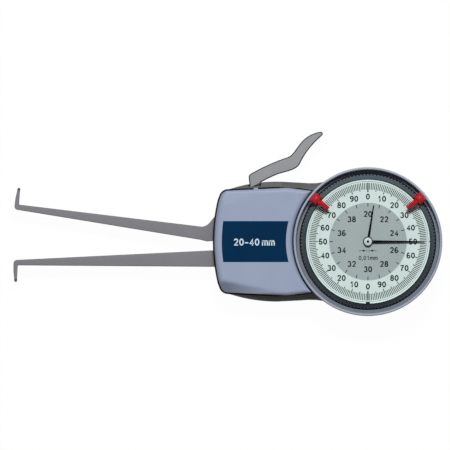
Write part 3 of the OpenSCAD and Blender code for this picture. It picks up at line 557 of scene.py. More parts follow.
# Fixed and moving arm: slim tapered bars ground from flat steel, satin grey, each bent out at the end
# into a short hook. They thin out towards the hooks. The moving one ends in a hub with a forked horn.
ARM_MID = 9
ARM_HALF = 2
HOOK_HALF = 1.1
TAPER_FROM = -66.4
TAPER_TO = -154.6
ARM_EDGE = 0.3
HOOK_H = 6.1
HOOK_BEND = ((0.45, 0.45), 0.45, 270, 180, 6)
HOOK_TIP = [(-0.24, HOOK_H), (-1.42, HOOK_H), (-1.8, 2.38)]
HOOK_BACK = ((-0.3, -0.85), 1.5, 180, 265, 8)
FIXED_HOOK = ((-150.8, -10.25), -0.47, -1)
MOVING_HOOK = ((-150.25, 15.95), -6.87, 1)
FIXED_ROOT = [(-66.4, -3.76), (-44.6, -3.76), (-44.6, -10.88), (-66.4, -10.88)]
FIXED_SCREWS = [(-60, -7.2), (-49, -7.2)]
FIXED_SCREW_R = 1.3
BORE_REACH = 4
ARM_AXIS = (-55, 6)
LEVER_AXIS = (-49.5, 19.5)
HUB_R = 5.8
BUSH_R = 3
ARM_SWING = 12.6
HORN_HALF_W = 3.75
HORN_REACH = 1.3
FINGER_R = 1.5
FORK_PLAY = 0.08
FORK_HALF_W = FINGER_R + FORK_PLAY
FORK_FLOOR_PLAY = 0.3
HUB_FROM = 262
HUB_STEPS = 14
MOVING_LOW_EDGE = [(-72.2, 0.78), (-69.2, 0.05), (-67, 0.2)]
MOVING_HIGH_EDGE = [(-59, 12), (-64.2, 12.2), (-65.7, 11.1)]
MOVING_BEND = ((-71.9, 11.4), 5, 317, 276, 8)


def placed(points, at, turn, side=1):
    """Points turned by an angle and moved, mirrored first where side is -1."""
    c, s = math.cos(math.radians(turn)), math.sin(math.radians(turn))
    return [(at[0] + x * c - side * y * s, at[1] + x * s + side * y * c) for x, y in points]


def hook_end(at, turn, side):
    """Outline of a hook, from the inside of its bend over its tip to the outer edge of the arm."""
    return placed(arc(*HOOK_BEND) + HOOK_TIP + arc(*HOOK_BACK), at, turn, side)


def arm_half(x):
    """Half the thickness of an arm, which thins out from the housing to the hook."""
    return mix(ARM_HALF, HOOK_HALF, max(0, (x - TAPER_FROM) / (TAPER_TO - TAPER_FROM)))


def rounded_plate(outline, low, high, edge, steps=3):
    """Plate over an outline with rounded rims; low and high give its faces at each x."""
    turns = [math.radians(90 * i / steps) for i in range(steps + 1)]
    rims = [(inset_loop(outline, edge * (1 - math.sin(t))), edge * (1 - math.cos(t))) for t in turns]
    back = [[(x, y, low(x) + rise) for x, y in rim] for rim, rise in rims]
    face = [[(x, y, high(x) - rise) for x, y in rim] for rim, rise in reversed(rims)]
    return loft(back + face)


def arm_low(x):
    """Level of the arms' back at x."""
    return ARM_MID - arm_half(x)


def arm_high(x):
    """Level of the arms' face at x."""
    return ARM_MID + arm_half(x)


# Its rims are painted a lighter grey than its face: painted edge highlight along the arms.
arm_steel = ground_metal("arm_steel", (94, 94, 97), (91, 91, 94), rough=0.42, spread=0.05,
                         stretch=(120, 1500, 1500), turn=38, rim=(112, 112, 115), depth=0.001,
                         Specular_IOR_Level=0.1)
fixed_blade = rounded_plate(hook_end(*FIXED_HOOK) + FIXED_ROOT, arm_low, arm_high, ARM_EDGE)
fixed_arm = make_piece("fixed_arm_blade", fixed_blade, [arm_steel],
                       "housing", "brushed_steel", "fixed_arm")
for screw_at in FIXED_SCREWS:
    reshape(fixed_arm, peg(screw_at, FIXED_SCREW_R, ARM_MID - BORE_REACH, ARM_MID + BORE_REACH))
soften(fixed_arm)

link = (LEVER_AXIS[0] - ARM_AXIS[0], LEVER_AXIS[1] - ARM_AXIS[1])
link_turn = math.degrees(math.atan2(link[1], link[0]))
link_r = math.hypot(*link) / 2
horn_turn = link_turn - ARM_SWING / 2
horn_side = math.degrees(math.asin(HORN_HALF_W / HUB_R))
fork_in = link_r - FINGER_R - FORK_FLOOR_PLAY
horn_out = link_r + HORN_REACH
horn_in = HUB_R * math.cos(math.radians(horn_side))
horn = [(horn_out, -HORN_HALF_W), (horn_out, -FORK_HALF_W), (fork_in, -FORK_HALF_W),
        (fork_in, FORK_HALF_W), (horn_out, FORK_HALF_W), (horn_out, HORN_HALF_W), (horn_in, HORN_HALF_W)]
moving_root = MOVING_LOW_EDGE + arc(ARM_AXIS, HUB_R, HUB_FROM, 360 + horn_turn - horn_side, HUB_STEPS)
moving_root += placed(horn, ARM_AXIS, horn_turn) + MOVING_HIGH_EDGE + arc(*MOVING_BEND)
moving_blade = rounded_plate(hook_end(*MOVING_HOOK) + moving_root, arm_low, arm_high, ARM_EDGE)
moving_arm = make_piece("moving_arm_blade", moving_blade, [arm_steel],
                        "measuring_arm", "brushed_steel", "moving_arm")
reshape(moving_arm, peg(ARM_AXIS, BUSH_R, ARM_MID - BORE_REACH, ARM_MID + BORE_REACH))
soften(moving_arm)

# Measuring tips: short pins of dark hard metal, soldered into the end of each hook and lapped
# round, so that they touch a bore at one point.
TIP_R = 0.64
TIP_X = -0.82
TIP_FROM = 5.6
TIP_REACH = 7.15
TIP_SIDES = 24
BALL_END = 88
BALL_STEPS = 8
TIPS = [("fixed_tip", FIXED_HOOK, "housing"), ("moving_tip", MOVING_HOOK, "measuring_arm")]


def round_pin(hook):
    """A pin that lies along a hook and ends in a half ball."""
    turns = [math.radians(BALL_END * i / BALL_STEPS) for i in range(BALL_STEPS + 1)]
    ball = [(TIP_REACH - TIP_R + TIP_R * math.sin(t), TIP_R * math.cos(t)) for t in turns]
    loops = []
    for along_hook, radius in [(TIP_FROM, TIP_R)] + ball:
        rim = circle((0, 0), radius, TIP_SIDES)
        plan = placed([(TIP_X + across, along_hook) for across, height in rim], *hook)
        loops.append([(x, y, ARM_MID + height) for (x, y), (across, height) in zip(plan, rim)])
    return loft(loops)


hard_metal = moulded("hard_metal", (92, 92, 94), (70, 70, 72), per_metre=6000, depth=0.002, rough=0.5,
                     spread=0.1, Metallic=0.1, Specular_IOR_Level=0.15)
for tip_name, hook, tip_body in TIPS:
    tip = make_piece(tip_name + "_pin", round_pin(hook), [hard_metal], tip_body, "carbide", tip_name)
    soften(tip)

# Thumb lever: a thick curved limb of satin steel milled from bar, its rounded rims in painted shade.
# Its foot goes through the shell's slot to the pin, and its finger lies in the arm's forked horn.
LEVER_LOW = 5.5
LEVER_HIGH = 12.5
LEVER_EDGE = 0.55
LEVER_HUB_R = 2.8
LEVER_BORE_R = 1.9
NECK_CUT = [(-45.5, 25.76), (-51.5, 22.9), (-51.5, 22.5), (-45.5, 22.5)]
NECK_TOP = 9.6
LEVER_BACK = ((-50.6, 29.1), (-46.5, 31.5), (-41, 34.1), (-35.5, 36), 14)
LEVER_RISE = ((-35.1, 36.1), (-30.3, 37.3), (-30.3, 45.4), (-20.6, 47.3), 20)
LEVER_NOSE = ((-20.2, 46.4), 0.9, 100, -46, 8)
LEVER_PAD = ((-19.9, 45.45), (-25, 41), (-27.5, 37), (-29, 33.8), 14)
LEVER_INNER = ((-29.2, 33.4), (-30.8, 30.4), (-36.5, 30), (-39.5, 28.7), 14)
LEVER_FOOT = [(-43, 27.1), (-45.8, 25.6), (-46.7, 24.2)]
LEVER_SOLE = [(2.6, 0.4), (-2.4, 1.4)]
LEVER_HEEL = [(-50.9, 24.2), (-51.25, 27.6), (-51.1, 28.5)]
FINGER_HALF_W = 0.9
FINGER_H = 3.4


def bezier(a, b, c, d, steps):
    """Points along a curve with two handles."""
    made = []
    for i in range(steps + 1):
        t = i / steps
        shares = ((1 - t) ** 3, 3 * (1 - t) ** 2 * t, 3 * (1 - t) * t * t, t ** 3)
        weighted = list(zip(shares, (a, b, c, d)))
        made.append(tuple(sum(share * p[axis] for share, p in weighted) for axis in (0, 1)))
    return made


def flat(level):
    """A face at one height."""
    return lambda x: level


lever_limb = bezier(*LEVER_BACK) + bezier(*LEVER_RISE) + arc(*LEVER_NOSE)[1:] + bezier(*LEVER_PAD)
lever_limb += bezier(*LEVER_INNER) + LEVER_FOOT + placed(LEVER_SOLE, LEVER_AXIS, 0) + LEVER_HEEL
# Its rims are painted near black: painted edge shade round the lever.
lever_steel = ground_metal("lever_steel", (107, 108, 110), (103, 104, 106), rough=0.42, spread=0.06,
                           stretch=(160, 1700, 1700), turn=-52, rim=(46, 47, 49), depth=0.0015,
                           Specular_IOR_Level=0.1)
lever_plate = rounded_plate(lever_limb, flat(LEVER_LOW), flat(LEVER_HIGH), LEVER_EDGE)
lever = make_piece("thumb_lever_limb", lever_plate, [lever_steel],
                   "thumb_lever", "brushed_steel", "opening_lever")
reshape(lever, peg(LEVER_AXIS, LEVER_HUB_R, LEVER_LOW, LEVER_HIGH), "UNION")
finger_turn = link_turn + 180 + ARM_SWING / 2
finger_levels = (ARM_MID - FINGER_H / 2, ARM_MID + FINGER_H / 2)
finger = [(0, -FINGER_HALF_W), (link_r, -FINGER_HALF_W), (link_r, FINGER_HALF_W), (0, FINGER_HALF_W)]
finger_line = placed(finger, LEVER_AXIS, finger_turn)
finger_end = placed([(link_r, 0)], LEVER_AXIS, finger_turn)[0]
reshape(lever, loft([at_level(finger_line, level) for level in finger_levels]), "UNION")
reshape(lever, peg(finger_end, FINGER_R, *finger_levels), "UNION")
reshape(lever, peg(LEVER_AXIS, LEVER_BORE_R, LEVER_LOW - CUT_PAST, LEVER_HIGH + CUT_PAST))
reshape(lever, loft([at_level(NECK_CUT, level) for level in (NECK_TOP, LEVER_HIGH + CUT_PAST)]))
soften(lever)

# Case gasket: a flat rubber cord between the shell and what closes it, squeezed until its edge
# stands a hair proud of the cover, where it draws the dark line of the seam.
GASKET_TOP = 14.6
GASKET_W = 1.2
GASKET_CUP_INSET = 0.25
gasket_rim = housing_outline(COVER_INSET - SEAM_LIP, CUP_R - GASKET_CUP_INSET, 1)
gasket_core = inset_loop(gasket_rim, GASKET_W)
gasket_loops = [at_level(gasket_core, SHELL_H), at_level(gasket_rim, SHELL_H),
                at_level(gasket_rim, GASKET_TOP), at_level(gasket_core, GASKET_TOP)]
gasket = make_piece("case_gasket_cord", loft(gasket_loops, ring=True), [rubber],
                    "housing", "rubber", "case_gasket")
soften(gasket)

# Front cover: a die-cast lid in blue-grey lacquer, flat in the middle, with a long soft bevel along
# each side and rounded edges. A pocket in its face takes the panel, a small tab stands by the lever,
# and its end is cut round the dial case and leans in at its foot to meet it.
COVER_LOW = 14.6
COVER_TOP = 20.7
WALL_CELLS = 9
COVER_ROOF = 18.4
FRONT_EDGE = (2.9, 2.3)
SIDE_EDGE = (1.9, 1.8)
DIAL_CUT_R = 32.55
DIAL_CUT_STEPS = 40
DIAL_SEAT_R = 32.06
DIAL_EDGE = (2.3, 1.8)
BEVELS = [((-63, 15.2), (-34.6, 22.1), 1, (6, 3)), ((-63, -16.6), (-34.6, -22.1), -1, (48, 8))]
BEVEL_SOFT = 0.2
EDGE_SOFT = 0.1
COVER_STEPS = 56
COVER_STOP_X = -24.22
COVER_SOFT_ANGLE = math.radians(50)
PANEL_HALF_H = 8.82
PANEL_LEFT = -62.85
PANEL_LEFT_R = 67
PANEL_LEFT_STEPS = 12
PANEL_RIGHT_R = 35.2
PANEL_RIGHT_STEPS = 16
PANEL_DEEP = 0.5
COVER_TAB = ((-49.1, 20, 15), (-47.2, 23.15, 17))


def along(points, share):
    """The point at a share of a line's length."""
    lengths = [math.dist(a, b) for a, b in zip(points, points[1:])]
    left = share * sum(lengths)
    for (a, b), length in zip(zip(points, points[1:]), lengths):
        if left <= length:
            return (mix(a[0], b[0], left / length), mix(a[1], b[1], left / length))
        left -= length
    return points[-1]


def gap_to(points, x, y):
    """Distance from a place to a line of points."""
    best = math.inf
    for (ax, ay), (bx, by) in zip(points, points[1:]):
        dx, dy = bx - ax, by - ay
        share = ((x - ax) * dx + (y - ay) * dy) / (dx * dx + dy * dy)
        share = min(1, max(0, share))
        best = min(best, math.hypot(x - ax - share * dx, y - ay - share * dy))
    return best


def soft_max(a, b, soft):
    """The larger of two values, blended where they come close."""
    return (a + b + math.sqrt((a - b) ** 2 + soft ** 2)) / 2


def roll_off(gap, reach, drop):
    """How far a rounded edge has fallen at a distance inside the outline."""
    share = 1 - min(max(gap, 0), reach) / reach
    return drop * (1 - math.sqrt(1 - share ** 2))


def cover_height(x, y):
    """Height of the cover's face, from its bevels and its rounded edges."""
    fall = 0
    for (ax, ay), (bx, by), side, slopes in BEVELS:
        beyond = side * ((bx - ax) * (y - ay) - (by - ay) * (x - ax)) / math.hypot(bx - ax, by - ay)
        slope = mix(*slopes, min(1, max(0, (x - ax) / (bx - ax))))
        fall = max(fall, math.tan(math.radians(slope)) * soft_max(beyond, 0, BEVEL_SOFT))
    for line, edge in ((left_line, FRONT_EDGE), (top_line, SIDE_EDGE), (bottom_line, SIDE_EDGE)):
        fall = soft_max(fall, roll_off(gap_to(line, x, y), *edge), EDGE_SOFT)
    return COVER_TOP - soft_max(fall, roll_off(math.hypot(x, y) - DIAL_CUT_R, *DIAL_EDGE), EDGE_SOFT)


def edge_shares(count):
    """Shares from 0 to 1 that lie closer together at both ends."""
    return [0.5 - 0.5 * math.cos(math.pi * i / count) for i in range(count + 1)]


cover_front = front_half(COVER_INSET)
corner_mid = FRONT_ROWS + 1 + CORNER_STEPS // 2
cut_turn = math.degrees(math.acos(COVER_STOP_X / DIAL_CUT_R))
cover_stop = arc((0, 0), DIAL_CUT_R, cut_turn, 0, 1)[0]
top_line = cover_front[corner_mid:] + [COVER_PEAK, cover_stop]
left_top = cover_front[:corner_mid + 1]
left_line = [(x, -y) for x, y in reversed(left_top[1:])] + left_top
bottom_line = [(x, -y) for x, y in top_line]
right_line = arc((0, 0), DIAL_CUT_R, 360 - cut_turn, cut_turn, DIAL_CUT_STEPS)

# The face is a grid stretched between the four edges.
cover_places = []
for v in edge_shares(COVER_STEPS):
    for u in edge_shares(COVER_STEPS):
        west, east = along(left_line, v), along(right_line, v)
        south, north = along(bottom_line, u), along(top_line, u)
        corners = (left_line[0], right_line[0], left_line[-1], right_line[-1])
        shares = ((1 - u) * (1 - v), u * (1 - v), (1 - u) * v, u * v)
        place = []
        for axis in (0, 1):
            across = mix(west[axis], east[axis], u) + mix(south[axis], north[axis], v)
            place.append(across - sum(share * corner[axis] for share, corner in zip(shares, corners)))
        cover_places.append(place)


def under_cover(i, j):
    """Height of the underside at a place of the grid: a rim all round and a hollow within."""
    hollow = all(WALL_CELLS < k < COVER_STEPS - WALL_CELLS for k in (i, j))
    return COVER_ROOF if hollow else COVER_LOW


row = COVER_STEPS + 1
face_points = [(x, y, cover_height(x, y)) for x, y in cover_places]
under_points = [(x, y, under_cover(i % row, i // row)) for i, (x, y) in enumerate(cover_places)]
# The wall round the dial case leans in at its foot.
for j in range(row):
    place = j * row + COVER_STEPS
    x, y, level = under_points[place]
    under_points[place] = (x * DIAL_SEAT_R / DIAL_CUT_R, y * DIAL_SEAT_R / DIAL_CUT_R, level)
cells = [(j * row + i, j * row + i + 1, (j + 1) * row + i + 1, (j + 1) * row + i)
         for j in range(COVER_STEPS) for i in range(COVER_STEPS)]
cover_solid = joined((face_points, cells), (under_points, [tuple(reversed(cell)) for cell in cells]))
rim_walk = list(range(row)) + [j * row + COVER_STEPS for j in range(1, row)]
rim_walk += [COVER_STEPS * row + i for i in range(COVER_STEPS - 1, -1, -1)]
rim_walk += [j * row for j in range(COVER_STEPS - 1, 0, -1)]
under_start = len(face_points)
for here, after in zip(rim_walk, rim_walk[1:] + rim_walk[:1]):
    cover_solid[1].append((under_start + here, under_start + after, after, here))

cover_lacquer = moulded("cover_lacquer", (150, 161, 184), (146, 156, 179), per_metre=1500, depth=0.004,
                        rough=0.45, spread=0.1, Specular_IOR_Level=0.15)
front_cover = make_piece("front_cover_lid", cover_solid, [cover_lacquer],
                         "housing", "cover_paint", "front_cover")
left_turn = math.degrees(math.asin(PANEL_HALF_H / PANEL_LEFT_R))
right_turn = math.degrees(math.asin(PANEL_HALF_H / PANEL_RIGHT_R))
panel_outline = arc((PANEL_LEFT + PANEL_LEFT_R, 0), PANEL_LEFT_R, 180 + left_turn, 180 - left_turn,
                    PANEL_LEFT_STEPS)
panel_outline += arc((0, 0), PANEL_RIGHT_R, 180 - right_turn, 180 + right_turn, PANEL_RIGHT_STEPS)
pocket_levels = (COVER_TOP - PANEL_DEEP, COVER_TOP + CUT_PAST)
reshape(front_cover, loft([at_level(panel_outline, level) for level in pocket_levels]))
reshape(front_cover, block(*COVER_TAB), "UNION")
soften(front_cover, COVER_SOFT_ANGLE)

# Panel: a thin dark-blue plate of anodised sheet laid flush in the cover's pocket. It carries
# nothing but the plain measuring range, printed in pale ink.
PANEL_PLAY = 0.05
PANEL_SUNK = 0.04
PANEL_EDGE = 0.05
INK_H = 0.02
RANGE_TEXT = "20–40 mm"
RANGE_H = 3
RANGE_AT = (-48.9, -0.2)
STROKE_W = 0.165
SIGN_GAP = 0.15
BEND_LEAST = 0.6
DIGIT_W = 0.64
OTHER_WIDTHS = {",": 0.2, "–": 0.5, " ": 0.1, "m": 0.82}


def bow(centre, radii, start, end, steps=16):
    """Points along part of an oval, between two angles in degrees."""
    turns = [math.radians(mix(start, end, i / steps)) for i in range(steps + 1)]
    return [(centre[0] + radii[0] * math.cos(t), centre[1] + radii[1] * math.sin(t)) for t in turns]


def turned_over(lines):
    """The lines of a sign turned by half a turn in its own space."""
    return [[(DIGIT_W - x, 1 - y) for x, y in line] for line in lines]


SIX = [bow((0.33, 0.5), (0.255, 0.425), 50, 180) + [(0.075, 0.3)],
       bow((0.32, 0.3), (0.245, 0.225), 180, 540)]
ARCHES = [[(left, 0.5)] + bow((left + 0.175, 0.5), (0.175, 0.175), 180, 0) + [(left + 0.35, 0)]
          for left in (0.06, 0.41)]
SIGNS = {
    "0": [bow((0.32, 0.5), (0.245, 0.425), 0, 360)],
    "1": [[(0.13, 0.72), (0.28, 0.8), (0.39, 0.97), (0.39, 0)]],
    "2": [bow((0.32, 0.69), (0.235, 0.235), 172, -35) + [(0.12, 0.075), (0.6, 0.075)]],
    "3": [bow((0.31, 0.715), (0.21, 0.21), 160, -75), bow((0.31, 0.295), (0.25, 0.22), 80, -162)],
    "4": [[(0.45, 0), (0.45, 0.9), (0.1, 0.3), (0.64, 0.3)]],
    "5": [[(0.57, 0.925), (0.19, 0.925), (0.12, 0.5)] + bow((0.31, 0.31), (0.25, 0.235), 140, -162)],
    "6": SIX,
    "7": [[(0.05, 0.925), (0.58, 0.925), (0.42, 0.66), (0.3, 0.36), (0.25, 0)]],
    "8": [bow((0.32, 0.715), (0.2, 0.21), 0, 360), bow((0.32, 0.29), (0.245, 0.215), 0, 360)],
    "9": turned_over(SIX),
    ",": [[(0.13, 0.14), (0.13, 0.02), (0.06, -0.16)]],
    "–": [[(0, 0.4), (0.5, 0.4)]],
    " ": [],
    "m": [[(0.06, 0), (0.06, 0.73)]] + ARCHES,
}


def ribbon(points, width, level, thick=INK_H):
    """A printed stroke along a line of points; a line that ends where it starts is closed to a ring."""
    closed = math.dist(points[0], points[-1]) < width / 100
    line = [Vector(point) for point in (points[:-1] if closed else points)]
    loops = []
    for i, point in enumerate(line):
        before = line[i - 1] if closed or i else None
        after = line[(i + 1) % len(line)] if closed or i + 1 < len(line) else None
        way_in = (point - before).normalized() if before else (after - point).normalized()
        way_out = (after - point).normalized() if after else way_in
        along_both = (way_in + way_out) / 2
        reach = width / 2 / max(BEND_LEAST, along_both.length)
        side = Vector((-along_both.y, along_both.x)).normalized() * reach
        edges = [tuple(point + side), tuple(point - side)]
        loops.append(at_level(edges, level) + at_level(reversed(edges), level + thick))
    return loft(loops, ring=closed)


def lettering(words, height, at, level, stroke=STROKE_W):
    """Plain numbers in even strokes, centred on a place."""
    widths = [OTHER_WIDTHS.get(sign, DIGIT_W) for sign in words]
    left = -(sum(widths) + SIGN_GAP * (len(words) - 1)) / 2
    strokes = []
    for sign, width in zip(words, widths):
        for line in SIGNS[sign]:
            spots = [(at[0] + (left + x) * height, at[1] + (y - 0.5) * height) for x, y in line]
            strokes.append(ribbon(spots, stroke * height, level))
        left += width + SIGN_GAP
    return joined(*strokes)


panel_blue = moulded("panel_blue", (3, 44, 76), (2, 40, 71), per_metre=2200, depth=0.003, rough=0.35,
                     spread=0.1, Specular_IOR_Level=0.03)
panel_top = COVER_TOP - PANEL_SUNK
panel_plan = inset_loop(panel_outline, PANEL_PLAY)
panel_plate = rounded_plate(panel_plan, flat(COVER_TOP - PANEL_DEEP), flat(panel_top), PANEL_EDGE, 2)
panel = make_piece("panel_sheet", panel_plate, [panel_blue], "housing", "panel_blue", "label_plate")
soften(panel)
pale_ink = moulded("pale_ink", (206, 224, 234), (192, 212, 224), per_metre=4000, depth=0.002, rough=0.5,
                   spread=0.1)
range_strokes = lettering(RANGE_TEXT, RANGE_H, RANGE_AT, panel_top)
make_piece("panel_range_print", range_strokes, [pale_ink], "housing", "panel_blue")

# Dial case: a turned ring in the cover's lacquer that carries the bezel. Its rim is rounded, and
# within it a step goes down to the bezel's seat, painted a darker grey as painted shade in the gap.
RING_STEPS = 288
CASE_PROFILE = [(27, 14.6), (31.8, 14.6), (32, 14.8), (32, 21.1), (31.95, 21.45), (31.82, 21.72),
                (31.62, 21.9), (31.42, 21.95), (31.22, 21.88), (31.04, 21.66), (30.91, 21.35),
                (30.82, 20.9), (30.76, 20.2), (30.72, 17.75), (30.66, 17.6), (29.6, 18), (29.5, 18),
                (29.45, 17.94), (29.5, 17.88), (29.75, 17.85), (29.75, 16.2), (27, 16.2)]
CASE_SEAT_R = 30.7


def turned_ring(profile):
    """A ring turned about the dial axis from a closed outline of radius and height."""
    return loft([at_level(circle((0, 0), r, RING_STEPS), z) for r, z in profile], ring=True)


case_lacquer = moulded("case_lacquer", (165, 173, 187), (159, 167, 181), per_metre=1500, depth=0.004,
                       rough=0.45, spread=0.1, Specular_IOR_Level=0.15)
case_seat_painted_shade = moulded("case_seat_painted_shade", (126, 133, 144), (118, 125, 136), per_metre=1500, depth=0.004,
                    rough=0.5, spread=0.1, Specular_IOR_Level=0.05)
dial_case = make_piece("dial_case_ring", turned_ring(CASE_PROFILE), [case_lacquer, case_seat_painted_shade],
                       "housing", "cover_paint", "dial_case")
# Faces inside the seat's radius take the darker grey: painted shade in the gap round the bezel.
for face in dial_case.data.polygons:
    if math.hypot(face.center.x, face.center.y) < CASE_SEAT_R * MM:
        face.material_index = 1
soften(dial_case)

# Bezel: a dark slate plastic ring, knurled round its edge for the fingers, with a sloping face and
# a narrow lip over the glass. Its foot and the edge of its lip are painted near black as painted shade,
# and the edges of its ridges carry a painted highlight. It turns in the dial case with the whole dial.
# In the photograph's even light it throws no shadow there, so it throws none here.
BEZEL_R = 28.95
KNURLS = 120
KNURL_STEPS = 6
KNURL_DEEP = 0.42
KNURL_TOP = 21.6
HIGHLIGHT_DEEP = 0.35
RIDGE_HIGHLIGHT = (190, 197, 203)
FOOT_TOP = 18.6
LIP_R = 26.95
BEZEL_LAYERS = [(27.8, 16.4, 0), (29.5, 16.4, 0), (29.6, 16.5, 0), (29.6, 17, 0), (28.8, 17, 0),
                (28.8, 17.8, 0), (29.2, 17.8, 0), (29.2, 18, 0), (28.8, 18.3, 0.4), (BEZEL_R, 18.7, 1),
                (BEZEL_R, KNURL_TOP, 1), (28.75, 22.2, 0.6), (28.55, 22.5, 0), (28.1, 23.05, 0),
                (27.65, 23.75, 0), (27.3, 24.5, 0), (27, 25.1, 0), (26.8, 25.32, 0), (26.7, 25.36, 0),
                (26.63, 25.3, 0), (26.6, 25.1, 0), (26.6, 23.9, 0), (26.98, 23.9, 0), (26.98, 23.02, 0),
                (27.8, 23.02, 0)]


def knurled_loop(radius, level, share):
    """One loop of the bezel, with its ridges cut in by a share of their depth."""
    steps = KNURLS * KNURL_STEPS
    points = []
    for i in range(steps):
        turn = 2 * math.pi * i / steps
        dip = abs(2 * (i % KNURL_STEPS) / KNURL_STEPS - 1)
        r = radius - share * KNURL_DEEP * (1 - dip)
        points.append((r * math.cos(turn), r * math.sin(turn), level))
    return points


# Painted highlight on the knurl: the outer edge of its ridges, above the knurl's top, is painted light
# grey.
ridge_highlight, ridge_highlight_in, ridge_highlight_out = new_group(
    "painted_ridge_highlight",
    [("Colour", "Color", (0.1, 0.1, 0.1, 1)), ("Highlight", "Color", (0.4, 0.4, 0.4, 1)),
     ("From", "Float", 0.029), ("To", "Float", 0.0295), ("Above", "Float", 0.021)],
    [("Colour", "Color")])
ridge_place = node(ridge_highlight, "TexCoord")
ridge_flat = node(ridge_highlight, "VectorMath", {
    0: ridge_place.outputs["Object"], 1: (1, 1, 0)}, operation="MULTIPLY")
ridge_radius = node(ridge_highlight, "VectorMath", {0: ridge_flat.outputs[0]}, operation="LENGTH")
ridge_share = node(ridge_highlight, "MapRange", {
    "Value": ridge_radius.outputs["Value"], "From Min": ridge_highlight_in.outputs["From"],
    "From Max": ridge_highlight_in.outputs["To"], "To Min": 0, "To Max": 1})
ridge_split = node(ridge_highlight, "SeparateXYZ", {0: ridge_place.outputs["Object"]})
ridge_high = node(ridge_highlight, "Math", {0: ridge_split.outputs["Z"], 1: ridge_highlight_in.outputs["Above"]},
                  operation="GREATER_THAN")
ridge_both = node(ridge_highlight, "Math", {
    0: ridge_share.outputs[0], 1: ridge_high.outputs[0]}, operation="MULTIPLY")
ridge_mix = node(ridge_highlight, "Mix", {
    0: ridge_both.outputs[0], 6: ridge_highlight_in.outputs["Colour"], 7: ridge_highlight_in.outputs["Highlight"]},
    data_type="RGBA")
ridge_highlight.links.new(ridge_mix.outputs[2], ridge_highlight_out.inputs["Colour"])

bezel_plastic = moulded("bezel_plastic", (87, 97, 105), (75, 85, 92), per_metre=1700, depth=0.012,
                        rough=0.4, spread=0.14, Specular_IOR_Level=0.04)
bezel_tree = bezel_plastic.node_tree
bezel_shader = bezel_tree.nodes["Principled BSDF"]
bezel_skin = bezel_shader.inputs["Base Color"].links[0].from_socket
# The bezel's colour takes the painted ridge highlight.
bezel_ridge_highlight = node(bezel_tree, "Group", {"Colour": bezel_skin}, node_tree=ridge_highlight)
bezel_ridge_highlight.inputs["Highlight"].default_value = paint(*RIDGE_HIGHLIGHT)
bezel_ridge_highlight.inputs["From"].default_value = (BEZEL_R - HIGHLIGHT_DEEP) * MM
bezel_ridge_highlight.inputs["To"].default_value = BEZEL_R * MM
bezel_ridge_highlight.inputs["Above"].default_value = KNURL_TOP * MM
bezel_tree.links.new(bezel_ridge_highlight.outputs["Colour"], bezel_shader.inputs["Base Color"])
bezel_painted_shade = moulded("bezel_painted_shade", (36, 40, 44), (29, 33, 37), per_metre=1700, depth=0.012, rough=0.5,
                     spread=0.1, Specular_IOR_Level=0.04)
bezel_loops = [knurled_loop(*layer) for layer in BEZEL_LAYERS]
bezel = make_piece("bezel_ring_knurled", loft(bezel_loops, ring=True), [bezel_plastic, bezel_painted_shade],
                   "bezel_ring", "bezel_plastic", "bezel")
# Faces below the foot's top and inside the lip take the painted shade: near black where shade
# falls between the knurl and the case and under the lip.
for face in bezel.data.polygons:
    centre = face.center / MM
    if centre.z < FOOT_TOP or math.hypot(centre.x, centre.y) < LIP_R:
        face.material_index = 1
bezel.visible_shadow = False
soften(bezel)

# Dial: a lacquered metal plate, pale outside and grey in the middle, printed in black. The outer scale
# counts hundredths twice round, the inner one the millimetres from 20 to 38.
DIAL_LOW = 20.3
DIAL_TOP = 20.9
DIAL_R = 27.7
DIAL_BORE = 2
INNER_R = 16.7
OUTER_DIVISIONS = 200
INNER_DIVISIONS = 20
TICK_OUT = 25.3
TICK_IN = 22.4
FIVE_IN = 21.7
TEN_IN = 21.3
TICK_W = 0.315
ZERO_W = 0.55
CIRCLE_R = 25.9
CIRCLE_W = 0.12
OUTER_NUMBERS = 20
OUTER_NUMBERS_R = 19.35
OUTER_NUMBERS_H = 2.45
NUMBER_STROKE = 0.21
INNER_NUMBERS = 10
FIRST_NUMBER = 20
INNER_NUMBERS_R = 11.87
INNER_NUMBERS_H = 2.46
INNER_TICK_OUT = 16.55
INNER_TICK_IN = 15.05
INNER_TICK_W = 0.33
ARROWS_Y = -3.9
ARROW_LINE = (3.9, 0.5)
ARROW_HEAD = (2.2, 0.9, 0.5)
ARROW_W = 0.2
UNIT_TEXT = "0,01mm"
UNIT_AT = (0.1, -7)
UNIT_H = 1.8
EDGE_NOTCHES = [(270, 1.7, 25.9), (0, 0.5, 26.3)]
NOTCH_OUT = 26.75
HAIR = 0.01


def out_from_axis(radius, turn):
    """The place at a radius and an angle in degrees from the dial axis."""
    return (radius * math.cos(math.radians(turn)), radius * math.sin(math.radians(turn)))


dial_pale = moulded("dial_pale", (212, 226, 223), (203, 217, 214), per_metre=2500, depth=0.003,
                    rough=0.6, spread=0.1, Specular_IOR_Level=0.1)
dial_grey = moulded("dial_grey", (162, 173, 173), (155, 166, 166), per_metre=2500, depth=0.003,
                    rough=0.6, spread=0.1, Specular_IOR_Level=0.1)
dial_profile = [(DIAL_BORE, DIAL_LOW), (DIAL_R, DIAL_LOW), (DIAL_R, DIAL_TOP), (INNER_R, DIAL_TOP),
                (DIAL_BORE, DIAL_TOP)]
dial = make_piece("dial_face", turned_ring(dial_profile), [dial_pale, dial_grey],
                  "bezel_ring", "dial_white", "dial_plate")
for face in dial.data.polygons:
    centre = face.center / MM
    if centre.z > DIAL_TOP - HAIR and math.hypot(centre.x, centre.y) < INNER_R:
        face.material_index = 1
soften(dial)

